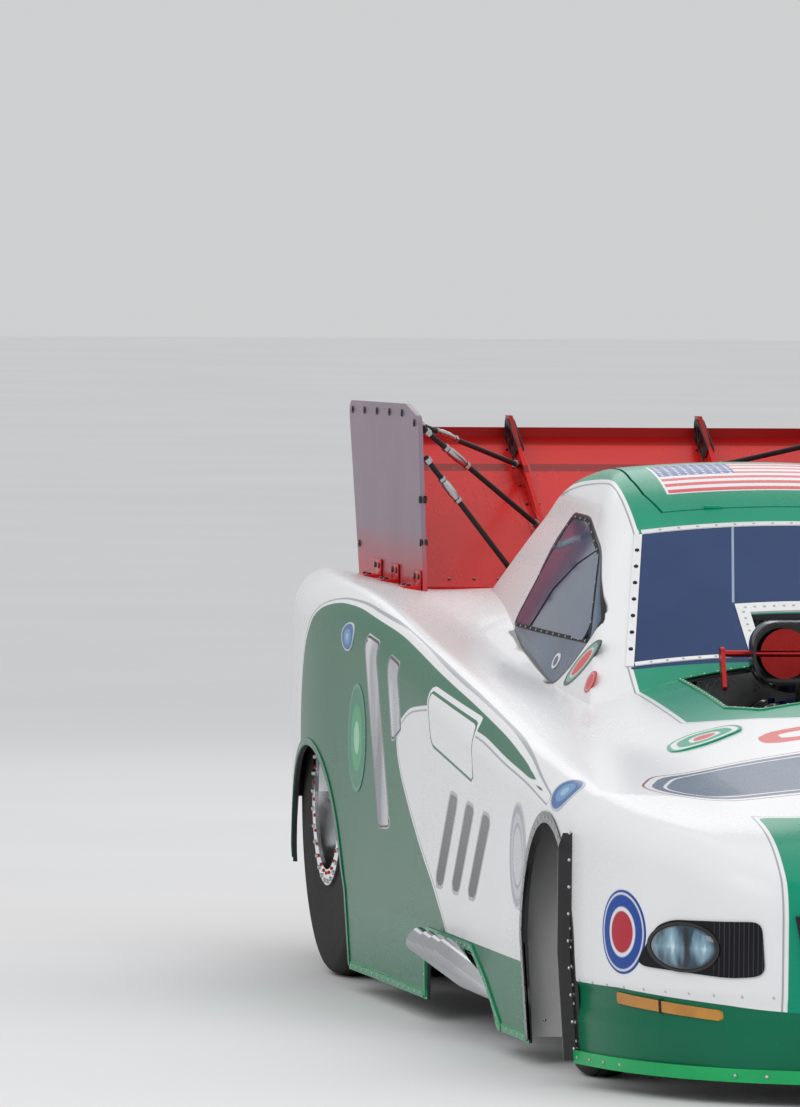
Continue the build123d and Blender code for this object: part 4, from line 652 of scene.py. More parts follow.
class Wire:
    """A value on its way through a node tree. Arithmetic on it adds Math nodes."""

    def __init__(self, tree, socket):
        self.tree, self.socket = tree, socket

    def math(self, operation, *others, clamp=False):
        node = self.tree.nodes.new("ShaderNodeMath")
        node.operation, node.use_clamp = operation, clamp
        for slot, value in zip(node.inputs, (self, *others)):
            if isinstance(value, Wire):
                self.tree.links.new(value.socket, slot)
            else:
                slot.default_value = value
        return Wire(self.tree, node.outputs[0])

    def __add__(self, other):
        return self.math("ADD", other)

    def __sub__(self, other):
        return self.math("SUBTRACT", other)

    def __mul__(self, other):
        return self.math("MULTIPLY", other)

    def __neg__(self):
        return self.math("MULTIPLY", -1.0)

    def most(self, other):
        return self.math("MAXIMUM", other)

    def size(self):
        return self.math("ABSOLUTE")

    def below(self, edge, soft=0.0006):
        """1 where the value is under the edge, 0 above it, with a narrow ramp between."""
        return self.ramp(edge - soft, edge + soft, 1.0, 0.0)

    def ramp(self, low, high, out_low=0.0, out_high=1.0):
        node = self.tree.nodes.new("ShaderNodeMapRange")
        self.tree.links.new(self.socket, node.inputs["Value"])
        for name, value in (("From Min", low), ("From Max", high), ("To Min", out_low), ("To Max", out_high)):
            node.inputs[name].default_value = value
        return Wire(self.tree, node.outputs[0])


def place_wires(tree):
    """The x, y and z of the surface's place."""
    coordinates = tree.nodes.new("ShaderNodeTexCoord")
    parts = tree.nodes.new("ShaderNodeSeparateXYZ")
    tree.links.new(coordinates.outputs["Object"], parts.inputs[0])
    return [Wire(tree, s) for s in parts.outputs]


def value_of(tree, name):
    """A value that the mesh carries."""
    node = tree.nodes.new("ShaderNodeAttribute")
    node.attribute_name = name
    return Wire(tree, node.outputs["Fac"])


def blend_colours(tree, mask, under, over):
    """The over colour where the mask is 1, the under colour where it is 0."""
    node = tree.nodes.new("ShaderNodeMix")
    node.data_type = "RGBA"
    tree.links.new(mask.socket, node.inputs[0])
    for slot, value in ((node.inputs[6], under), (node.inputs[7], over)):
        if isinstance(value, Wire):
            tree.links.new(value.socket, slot)
        else:
            slot.default_value = tuple(value)[:3] + (1.0,)
    return Wire(tree, node.outputs[2])


def new_group(name, inputs, outputs):
    """An empty shader node group with its named inputs (name, default) and outputs."""
    tree = bpy.data.node_groups.new(name, "ShaderNodeTree")
    for label, default in inputs:
        tree.interface.new_socket(label, in_out="INPUT", socket_type="NodeSocketFloat").default_value = default
    for label in outputs:
        tree.interface.new_socket(label, in_out="OUTPUT", socket_type="NodeSocketFloat")
    start, end = tree.nodes.new("NodeGroupInput"), tree.nodes.new("NodeGroupOutput")
    return tree, {s.name: Wire(tree, s) for s in start.outputs if s.name}, end


def noise(tree, scale, stretch=(1, 1, 1), detail=3.0):
    """Cloudy noise over the surface, stretched by a factor along each axis."""
    coordinates = tree.nodes.new("ShaderNodeTexCoord")
    mapping = tree.nodes.new("ShaderNodeMapping")
    mapping.inputs["Scale"].default_value = stretch
    texture = tree.nodes.new("ShaderNodeTexNoise")
    texture.inputs["Detail"].default_value = detail
    tree.links.new(coordinates.outputs["Object"], mapping.inputs["Vector"])
    tree.links.new(mapping.outputs[0], texture.inputs["Vector"])
    if isinstance(scale, Wire):
        tree.links.new(scale.socket, texture.inputs["Scale"])
    else:
        texture.inputs["Scale"].default_value = scale
    return Wire(tree, texture.outputs["Fac"])


def make_groups():
    """The effects that several finishes share."""
    tree, given, end = new_group("Handled surface", (("Scale", 6.0), ("Roughness", 0.3), ("Spread", 0.1)),
                                 ("Mask", "Roughness"))
    cloud = noise(tree, given["Scale"])
    smear = noise(tree, 90.0, (1, 0.12, 1))
    worn = (cloud * 0.7 + smear * 0.3).ramp(0.36, 0.64)
    tree.links.new(cloud.ramp(0.30, 0.70).socket, end.inputs["Mask"])
    tree.links.new((given["Roughness"] + (worn - 0.5) * given["Spread"]).socket, end.inputs["Roughness"])

    tree, given, end = new_group("Twill", (("Scale", 260.0),), ("Mask", "Height"))
    x, y, z = place_wires(tree)
    u, v = (x + z * 0.7) * given["Scale"], (y + z * 0.3) * given["Scale"]
    step = (u.math("FLOOR") + v.math("FLOOR")).math("MODULO", 4.0).size()
    warp = step.below(1.5, 0.01)
    ridge_u, ridge_v = (u * pi).math("SINE").size(), (v * pi).math("SINE").size()
    height = ridge_u * warp + ridge_v * (-warp + 1.0)
    tree.links.new(warp.socket, end.inputs["Mask"])
    tree.links.new(height.socket, end.inputs["Height"])

    tree, given, end = new_group("Woven cloth", (("Scale", 420.0),), ("Mask", "Height"))
    x, y, z = place_wires(tree)
    u, v = (x + z) * given["Scale"], (y + z * 0.6) * given["Scale"]
    over = (u * pi).math("SINE") * (v * pi).math("SINE")
    tree.links.new(over.ramp(-0.4, 0.4).socket, end.inputs["Mask"])
    tree.links.new(over.size().socket, end.inputs["Height"])

    tree, given, end = new_group("Brushed", (("Scale", 60.0),), ("Mask",))
    grain = (noise(tree, given["Scale"], (1, 0.04, 1), 4.0) * 0.6
             + noise(tree, given["Scale"], (0.05, 1, 1), 4.0) * 0.4)
    tree.links.new(grain.ramp(0.3, 0.7).socket, end.inputs["Mask"])


def use_group(tree, name, **values):
    """Places a shared effect with its own values and gives its outputs."""
    node = tree.nodes.new("ShaderNodeGroup")
    node.node_tree = bpy.data.node_groups[name]
    for key, value in values.items():
        node.inputs[key].default_value = value
    return {s.name: Wire(tree, s) for s in node.outputs}


def new_finish(name, roughness=0.4, metallic=0.0, coat=0.0, spread=0.08, scale=6.0, **plain):
    """A Principled material whose roughness varies like a handled surface; the caller gives its colour."""
    m = bpy.data.materials.new(name)
    m.use_nodes = True
    tree = m.node_tree
    shader = tree.nodes["Principled BSDF"]
    shader.inputs["Metallic"].default_value = metallic
    shader.inputs["Coat Weight"].default_value = coat
    shader.inputs["Coat Roughness"].default_value = 0.05
    if metallic == 0.0:
        shader.inputs["Specular IOR Level"].default_value = 0.14
    for key, value in plain.items():
        shader.inputs[key.replace("_", " ")].default_value = value
    handled = use_group(tree, "Handled surface", Scale=scale, Roughness=roughness, Spread=spread)
    tree.links.new(handled["Roughness"].socket, shader.inputs["Roughness"])
    return m, tree, shader, handled["Mask"]


def colour_by(tree, shader, colour):
    """The shader's colour from a wire."""
    tree.links.new(colour.socket, shader.inputs["Base Color"])


def raise_by(tree, shader, height, distance, strength=0.5):
    """A bump on the shader's normal from a height."""
    bump = tree.nodes.new("ShaderNodeBump")
    bump.inputs["Strength"].default_value = strength
    bump.inputs["Distance"].default_value = distance
    tree.links.new(height.socket, bump.inputs["Height"])
    tree.links.new(bump.outputs[0], shader.inputs["Normal"])


def mottled(name, colour, other, roughness=0.4, metallic=0.0, coat=0.0, bump=0.0, scale=6.0, spread=0.1,
            grain=(), **plain):
    """A finish of two near colours in cloudy patches, with an optional shared grain in its bump."""
    m, tree, shader, mask = new_finish(name, roughness, metallic, coat, spread, scale, **plain)
    colour_by(tree, shader, blend_colours(tree, mask, colour, other))
    if grain:
        made = use_group(tree, grain[0], Scale=grain[1])
        raise_by(tree, shader, made.get("Height", made["Mask"]), bump, 0.6)
    elif bump:
        raise_by(tree, shader, noise(tree, scale * 40, detail=2.0), bump, 0.5)
    return m


def make_finishes():
    """Every plain finish, by name."""
    paint = bpy.context.scene.drag_paint
    table = (
        # name, colour, other colour, roughness, metallic, coat, bump, then a grain and its scale
        ("red_paint", paint.red, [c * 0.8 for c in paint.red], 0.26, 0.0, 0.12, 0.0),
        ("bright_green", (0.02, 0.42, 0.13), (0.015, 0.36, 0.11), 0.28, 0.0, 0.12, 0.0),
        ("gloss_black", (0.008, 0.008, 0.009), (0.013, 0.013, 0.014), 0.2, 0.0, 0.7, 0.0),
        ("satin_black", (0.016, 0.016, 0.018), (0.026, 0.026, 0.028), 0.45, 0.0, 0.0, 0.0006),
        ("cast_magnesium", (0.36, 0.35, 0.33), (0.44, 0.43, 0.41), 0.5, 0.85, 0.0, 0.0006),
        ("cast_alloy", (0.56, 0.56, 0.56), (0.64, 0.64, 0.63), 0.48, 0.9, 0.0, 0.0007),
        ("brushed_alloy", (0.60, 0.61, 0.62), (0.70, 0.70, 0.71), 0.3, 1.0, 0.0, 0.0002, "Brushed", 60.0),
        ("polished_alloy", (0.74, 0.75, 0.77), (0.80, 0.80, 0.81), 0.13, 1.0, 0.0, 0.0),
        ("bright_steel", (0.50, 0.50, 0.51), (0.58, 0.57, 0.56), 0.27, 1.0, 0.0, 0.0),
        ("frame_paint", (0.035, 0.037, 0.042), (0.055, 0.057, 0.062), 0.33, 0.2, 0.3, 0.0),
        ("red_anodised", (0.42, 0.02, 0.02), (0.50, 0.03, 0.03), 0.3, 0.8, 0.0, 0.0),
        ("blue_anodised", (0.02, 0.08, 0.38), (0.03, 0.11, 0.45), 0.3, 0.8, 0.0, 0.0),
        ("bare_carbon", (0.022, 0.023, 0.026), (0.036, 0.037, 0.041), 0.38, 0.0, 0.4, 0.0005, "Twill", 260.0),
        ("gloss_carbon", (0.012, 0.012, 0.014), (0.022, 0.022, 0.025), 0.2, 0.0, 0.9, 0.0003, "Twill", 300.0),
        ("tyre_rubber", (0.022, 0.022, 0.023), (0.034, 0.033, 0.032), 0.72, 0.0, 0.0, 0.0008),
        ("slick_rubber", (0.028, 0.028, 0.029), (0.046, 0.044, 0.042), 0.82, 0.0, 0.0, 0.0016),
        ("belt_rubber", (0.018, 0.018, 0.019), (0.027, 0.027, 0.028), 0.6, 0.0, 0.0, 0.0004, "Woven cloth",
         600.0),
        ("pack_cloth", (0.018, 0.019, 0.022), (0.032, 0.033, 0.038), 0.8, 0.0, 0.0, 0.0007, "Woven cloth",
         420.0),
        ("seat_cloth", (0.030, 0.031, 0.034), (0.048, 0.049, 0.053), 0.85, 0.0, 0.0, 0.0006, "Woven cloth",
         480.0),
        ("red_webbing", (0.46, 0.02, 0.02), (0.55, 0.035, 0.03), 0.75, 0.0, 0.0, 0.0006, "Woven cloth", 520.0),
        ("rubber_seal", (0.015, 0.015, 0.016), (0.022, 0.022, 0.023), 0.6, 0.0, 0.0, 0.0004),
        ("lip_paint", (0.012, 0.30, 0.13), (0.010, 0.25, 0.105), 0.26, 0.0, 0.12, 0.0),
        ("deep_paint", paint.deep_green, [c * 1.25 for c in paint.deep_green], 0.26, 0.0, 0.12, 0.0),
        ("pale_seam", (0.24, 0.32, 0.44), (0.30, 0.38, 0.50), 0.3, 0.0, 0.2, 0.0),
        ("white_enamel", (0.72, 0.72, 0.72), (0.66, 0.66, 0.66), 0.3, 0.0, 0.5, 0.0),
    )
    for name, colour, other, roughness, metallic, coat, bump, *grain in table:
        FINISHES[name] = mottled(name, colour, other, roughness, metallic, coat, bump, grain=grain)
    FINISHES["windscreen_tint"] = glass("windscreen_tint", (0.012, 0.050, 0.165), (0.007, 0.034, 0.125), 0.10)
    FINISHES["window_tint"] = glass("window_tint", (0.085, 0.125, 0.195), (0.055, 0.085, 0.145), 0.04)
    FINISHES["amber_lens"] = mottled("amber_lens", (0.42, 0.17, 0.02), (0.55, 0.25, 0.04), 0.2, 0.0, 0.6, 0.001,
                                     scale=12.0)
    FINISHES["lamp_panel"] = lamp_panel_finish()
    FINISHES["lamp_lens"] = lamp_lens_finish()
    vinyl = (
        # name, then the rim's colour and each further band as (share of the radius, colour)
        ("roundel", ((0.02, 0.07, 0.32), (0.94, (0.70, 0.72, 0.76)), (0.89, (0.02, 0.07, 0.32)),
                     (0.60, (0.72, 0.73, 0.76)), (0.50, (0.44, 0.03, 0.05)))),
        ("blue_oval", ((0.55, 0.60, 0.66), (0.90, (0.03, 0.12, 0.34)), (0.55, (0.10, 0.28, 0.52)),
                       (0.25, (0.30, 0.46, 0.64)))),
        ("green_ball", ((0.10, 0.30, 0.22), (0.93, (0.01, 0.20, 0.10)), (0.62, (0.02, 0.34, 0.12)),
                        (0.30, (0.30, 0.60, 0.42)))),
        ("hood_wedge", (paint.green, (0.90, (0.74, 0.74, 0.75)), (0.74, paint.green),
                        (0.42, (0.74, 0.74, 0.75)), (0.30, (0.60, 0.05, 0.04)))),
        ("faint_ring", ((0.60, 0.61, 0.63), (0.95, (0.36, 0.37, 0.41)), (0.80, (0.52, 0.53, 0.56)),
                        (0.62, (0.34, 0.35, 0.40)), (0.54, (0.58, 0.58, 0.60)))),
        ("red_eye", ((0.05, 0.10, 0.08), (0.86, (0.20, 0.36, 0.30)), (0.66, (0.60, 0.62, 0.62)),
                     (0.56, (0.66, 0.04, 0.04)))),
        ("red_spot", ((0.62, 0.05, 0.05), (0.82, (0.74, 0.62, 0.62)), (0.76, (0.60, 0.04, 0.04)))),
        ("white_ring", ((0.74, 0.75, 0.76), (0.66, (0.035, 0.065, 0.12)))),
    )
    for name, bands in vinyl:
        FINISHES[name] = ringed(name, bands)
    FINISHES["exhaust_chrome"] = heated_chrome()
    FINISHES["end_plate"] = end_plate_paint()
    FINISHES["spoiler_red"] = spoiler_paint()
    FINISHES["hatch_paint"] = hatch_paint()
    FINISHES["body_paint"] = body_paint()


def glass(name, colour, other, transmission):
    """Tinted polycarbonate: a little of the inside shows, and faint haze varies its tint."""
    m, tree, shader, mask = new_finish(name, 0.07, 0.0, 0.0, 0.04, 3.0, Transmission_Weight=transmission,
                                       IOR=1.45)
    colour_by(tree, shader, blend_colours(tree, mask, colour, other))
    return m


def ringed(name, bands):
    """Vinyl printed in rings: the first colour is the rim, and each further band fills its share of the
    radius."""
    m, tree, shader, mask = new_finish(name, 0.27, 0.0, 0.05, 0.02, 8.0)
    ring = value_of(tree, "ring")
    out = blend_colours(tree, mask, bands[0], [c * 0.88 for c in bands[0]])
    for edge, colour in bands[1:]:
        out = blend_colours(tree, ring.below(edge, 0.02), out, colour)
    colour_by(tree, shader, out)
    return m


def lamp_panel_finish():
    """Gloss black film with fine upright lines on its inner half."""
    m, tree, shader, mask = new_finish("lamp_panel", 0.20, 0.0, 0.0, 0.04, 8.0)
    x = place_wires(tree)[0]
    lines = (x.size() * 105.0).math("FRACT").below(0.16, 0.05) * x.size().below(0.735, 0.003)
    plain = blend_colours(tree, mask, (0.006, 0.006, 0.008), (0.011, 0.011, 0.013))
    colour_by(tree, shader, blend_colours(tree, lines, plain, (0.045, 0.046, 0.055)))
    return m


def lamp_lens_finish():
    """A printed lamp: two pale blue bowls on dark steel blue, with a dark bar between them."""
    m, tree, shader, _ = new_finish("lamp_lens", 0.10, 0.0, 0.9, 0.05, 14.0)
    x, _, z = place_wires(tree)
    u, v = x.size() - 0.783, z - 0.345
    cloud = noise(tree, 38.0, (1.6, 1, 0.35), 4.0)
    bowl = (u.size() - 0.030).math("ABSOLUTE") * 26.0 + v.size() * 15.0 - (cloud - 0.5) * 1.6
    pale = blend_colours(tree, bowl.ramp(0.15, 1.05, 1.0, 0.0), (0.012, 0.045, 0.075), (0.26, 0.42, 0.52))
    spot = blend_colours(tree, (bowl + cloud * 0.5).ramp(0.25, 0.50, 1.0, 0.0), pale, (0.62, 0.72, 0.76))
    bar = blend_colours(tree, (u - 0.004).size().below(0.0045, 0.003), spot, (0.006, 0.010, 0.016))
    rim = blend_colours(tree, value_of(tree, "ring").ramp(0.86, 0.98), bar, (0.010, 0.022, 0.034))
    colour_by(tree, shader, rim)
    return m


def heated_chrome():
    """Polished pipe, straw and blue near the port and at the outlet, where it is hottest."""
    m, tree, shader, mask = new_finish("exhaust_chrome", 0.15, 1.0, 0.0, 0.14, 9.0)
    out = place_wires(tree)[0].size()
    straw = blend_colours(tree, (out + mask * 0.05).ramp(0.32, 0.46, 1.0, 0.0), (0.66, 0.67, 0.69),
                          (0.60, 0.49, 0.34))
    blue = blend_colours(tree, (out + mask * 0.03).ramp(0.95, 1.02), straw, (0.47, 0.475, 0.50))
    colour_by(tree, shader, blue)
    raise_by(tree, shader, noise(tree, 160.0, (1, 0.3, 1)), 0.0004, 0.4)
    return m


def end_plate_paint():
    """Red end plates under a painted sky reflection in mauve, which fades to the plates' red towards the foot,
    with a red front edge.
    """
    paint = bpy.context.scene.drag_paint
    m, tree, shader, mask = new_finish("end_plate", 0.3, 0.0, 0.05, 0.03, 3.0)
    x, y, z = place_wires(tree)
    # Painted reflection: the mauve is painted sky reflection over the red plate; the ramp at the foot lets the
    # plate's own red through.
    plain = blend_colours(tree, mask, paint.plate, [c * 0.86 for c in paint.plate])
    foot = blend_colours(tree, z.ramp(0.98, 1.12, 0.75, 0.0), plain, paint.red)
    inner = blend_colours(tree, x.size().below(0.672, 0.001) * (y - FRONT_Y).below(3.452, 0.002), foot,
                          paint.red)
    colour_by(tree, shader, inner)
    return m


def spoiler_paint():
    """Red with a darker strip along the top and a seam under it."""
    paint = bpy.context.scene.drag_paint
    m, tree, shader, mask = new_finish("spoiler_red", 0.28, 0.0, 0.0, 0.03, 4.0)
    x, _, z = place_wires(tree)
    dark = [c * 0.42 for c in paint.red]
    plain = blend_colours(tree, mask, paint.red, [c * 0.94 for c in paint.red])
    step = blend_colours(tree, (z - 1.262).size().below(0.009) * x.size().below(0.62), plain, dark)
    strip = blend_colours(tree, z.below(1.318), [c * 0.5 for c in paint.red], step)
    colour_by(tree, shader, strip)
    return m


def hatch_paint():
    """Green lacquer with a striped flag laid across the hatch: thirteen stripes and a field of round dots."""
    paint = bpy.context.scene.drag_paint
    m, tree, shader, mask = new_finish("hatch_paint", 0.27, 0.0, 0.10, 0.02, 4.0)
    x, y, z = place_wires(tree)
    aft = y - FRONT_Y
    plain = blend_colours(tree, mask, paint.green, [c * 0.85 for c in paint.green])
    bars = ((aft - 2.112) * (13 / 0.286)).math("FLOOR").math("MODULO", 2.0).below(0.5, 0.01)
    stripes = blend_colours(tree, bars, (0.74, 0.73, 0.74), (0.62, 0.06, 0.07))
    du, dv = (((x + 0.271) * (1 / 0.0215)).math("FRACT") - 0.5,
              ((aft - 2.244) * (1 / 0.0205)).math("FRACT") - 0.5)
    dots = (du * du + dv * dv).below(0.045, 0.02)
    field = blend_colours(tree, dots, (0.03, 0.06, 0.28), (0.74, 0.74, 0.76))
    in_field = x.below(-0.078) * (-aft).below(-2.244)
    flag = blend_colours(tree, in_field, stripes, field)
    box = ((x.size() - 0.271).most((aft - 2.255).size() - 0.143))
    edged = blend_colours(tree, box.below(0.006), plain, (0.76, 0.76, 0.77))
    out = blend_colours(tree, box.below(0.0), edged, flag)
    on_top = (-z).below(-1.2)
    out = blend_colours(tree, on_top, plain, out)
    colour_by(tree, shader, out)
    return m


def body_paint():
    """White lacquer with green panels, a slate band, silver bars and a blank framed panel, each laid where the
    mesh carries its outline. The green is painted darker on the sides as painted shade, and the silver bars
    carry painted chrome reflections."""
    paint = bpy.context.scene.drag_paint
    m, tree, shader, mask = new_finish("body_paint", 0.27, 0.0, 0.10, 0.02, 2.2)
    x, _, z = place_wires(tree)
    white = blend_colours(tree, mask, paint.white, [c * 0.965 for c in paint.white])
    green = blend_colours(tree, mask, paint.green, [c * 0.85 for c in paint.green])
    edge = value_of(tree, "green_edge")
    # Painted shade: the green is darkened on the car's sides, from 0.80 m out and above 0.2 m, where the sides
    # face away from the light; the hood and roof keep the lit green.
    green = blend_colours(tree, x.size().ramp(0.80, 0.88) * (-z).below(-0.2, 0.01), green,
                          (paint.green[0] * 0.15, paint.green[1] * 0.42, paint.green[2] * 0.34))
    out = blend_colours(tree, edge.below(0.0), white, green)
    out = blend_colours(tree, (edge - 0.011).size().below(0.0022), out, (0.35, 0.37, 0.38))
    slate = value_of(tree, "slate_edge")
    out = blend_colours(tree, (slate - 0.020).size().below(0.003), out, (0.30, 0.03, 0.04))
    shade = blend_colours(tree, noise(tree, 2.5).ramp(0.35, 0.65), paint.slate, [c * 1.7 for c in paint.slate])
    out = blend_colours(tree, slate.below(0.0), out, shade)
    out = blend_colours(tree, (slate + 0.030).size().below(0.004), out, paint.white)
    bars = value_of(tree, "bar_edge")
    out = blend_colours(tree, bars.below(0.009), out, (0.42, 0.43, 0.45))
    bar = blend_colours(tree, z.ramp(0.38, 0.56), (0.045, 0.047, 0.052), (0.14, 0.145, 0.155))
    out = blend_colours(tree, bars.below(0.0), out, bar)
    silver = value_of(tree, "silver_edge")
    # Painted reflection: the silver bars are mottled between dark and pale grey in place of the reflections
    # that chrome film shows.
    painted_chrome_reflection = blend_colours(tree, noise(tree, 5.0, (1, 1, 0.4)).ramp(0.38, 0.62), (0.22, 0.23, 0.25),
                          (0.62, 0.63, 0.65))
    out = blend_colours(tree, silver.below(0.0), out, painted_chrome_reflection)
    out = blend_colours(tree, (silver + 0.006).size().below(0.003), out, (0.03, 0.03, 0.035))
    red = value_of(tree, "red_edge")
    out = blend_colours(tree, red.below(0.0), out, (0.62, 0.05, 0.04))
    panel = value_of(tree, "panel_edge")
    out = blend_colours(tree, panel.below(0.0), out, paint.white)
    out = blend_colours(tree, (panel + 0.014).size().below(0.0035), out, green)
    tint = value_of(tree, "tint_edge")
    shaded = blend_colours(tree, noise(tree, 3.0).ramp(0.35, 0.65), (0.045, 0.075, 0.13), (0.075, 0.115, 0.18))
    out = blend_colours(tree, tint.below(0.004, 0.0012), out, (0.012, 0.012, 0.014))
    out = blend_colours(tree, tint.below(-0.004, 0.0012), out, shaded)
    deep = value_of(tree, "deep_edge")
    low = blend_colours(tree, mask, paint.deep_green, [c * 1.25 for c in paint.deep_green])
    out = blend_colours(tree, deep.below(0.0), out, low)
    out = blend_colours(tree, z.below(0.074), out, (0.02, 0.42, 0.13))
    colour_by(tree, shader, out)
    raise_by(tree, shader, noise(tree, 9.0, detail=1.0), 0.0010, 0.05)
    return m


# Body outlines, x or aft first; the side's are (aft, z) and the top's (x, aft)
HOOD_OPENING = both_sides(
    ((0.320, 0.700), (0.380, 0.820), (0.380, 1.368), (0.222, 1.368), (0.198, 1.396), (0.168, 1.440),
     (0.168, 1.590))
)
SCREEN_OPENING = both_sides(((0.194, 1.412), (0.492, 1.440), (0.380, 1.935)))
SCREEN_KEEP = both_sides(((0.194, 1.380), (0.194, 1.620)))
SIDE_OPENING = ((1.640, 0.918), (1.950, 1.118), (2.270, 1.190), (2.540, 1.192), (2.640, 1.110), (2.740, 0.915))
HATCH_OPENING = both_sides(((0.310, 2.010), (0.337, 2.120), (0.345, 2.250), (0.335, 2.560)))
EXHAUST_NOTCH = ((0.630, 0.0), (0.806, 0.148), (0.968, 0.215), (1.570, 0.215), (1.650, 0.0))
TAIL_CUT = ((3.600, -0.1), (3.600, 0.240), (3.690, 0.262), (3.860, 0.330), (4.140, 0.420), (4.140, -0.1))
QUARTER = (
    (-0.020, 0.622), (0.382, 0.689), (0.718, 0.734), (1.200, 0.794), (1.682, 0.850), (2.205, 0.914),
    (2.661, 0.958), (2.884, 0.963), (3.084, 0.936), (3.260, 0.840), (3.330, 0.700), (3.320, 0.400),
    (3.300, -0.05), (1.150, -0.05), (1.300, 0.235), (1.450, 0.330), (1.633, 0.410), (1.799, 0.502),
    (1.924, 0.583), (1.987, 0.652), (1.950, 0.706), (1.811, 0.749), (1.538, 0.770), (0.891, 0.731),
    (0.591, 0.693), (0.281, 0.662),
)
SILVER_BARS = (
    ((2.430, 0.905), (2.270, 0.890), (2.050, 0.440), (2.215, 0.430)),
    ((2.130, 0.868), (1.985, 0.850), (1.905, 0.690), (2.040, 0.650)),
)
SLATE_BARS = tuple(((0.70 + k, 0.545 + k / 20), (0.80 + k, 0.552 + k / 20), (1.00 + k, 0.345),
                    (0.90 + k, 0.345)) for k in (0.0, 0.22, 0.44))
BLANK_PANEL = ((1.593, 0.818), (1.524, 0.663), (0.911, 0.600), (0.976, 0.763))
TINT = (
    (2.700, 0.895), (1.850, 0.803), (1.735, 0.855), (1.610, 0.955), (1.700, 1.005), (1.945, 1.128),
    (2.270, 1.197), (2.555, 1.198), (2.690, 1.110)
)
HOOD_BAND = (
    (-0.760, -0.160), (-0.660, 0.160), (-0.360, 0.115), (0.360, 0.115), (0.660, 0.160), (0.760, -0.160),
    (0.660, -0.320), (-0.660, -0.320)
)
HOOD_WEDGE = ((0.586, 0.450), (0.580, 0.560), (0.520, 0.605), (0.415, 0.585), (0.400, 0.505), (0.500, 0.440))
HOOD_DASH = ((-0.400, 0.270), (-0.400, 0.420), (0.400, 0.420), (0.400, 0.270))


def arch_outline(arch, grow=0.0):
    """Upright legs under the arc through the three points at the legs' tops and the arch's crown."""
    axle, height, half, top = arch
    half, top = half + grow, top + grow
    rise = top - height
    radius = (half ** 2 + rise ** 2) / (2 * rise)
    reach = np.arcsin(half / radius) if rise < half else pi - np.arcsin(half / radius)
    a = np.linspace(-reach, reach, 49)
    arc = np.stack((axle + radius * np.sin(a), top - radius + radius * np.cos(a)), 1)
    return np.concatenate(([(axle - half, -0.1)], arc, [(axle + half, -0.1)]))


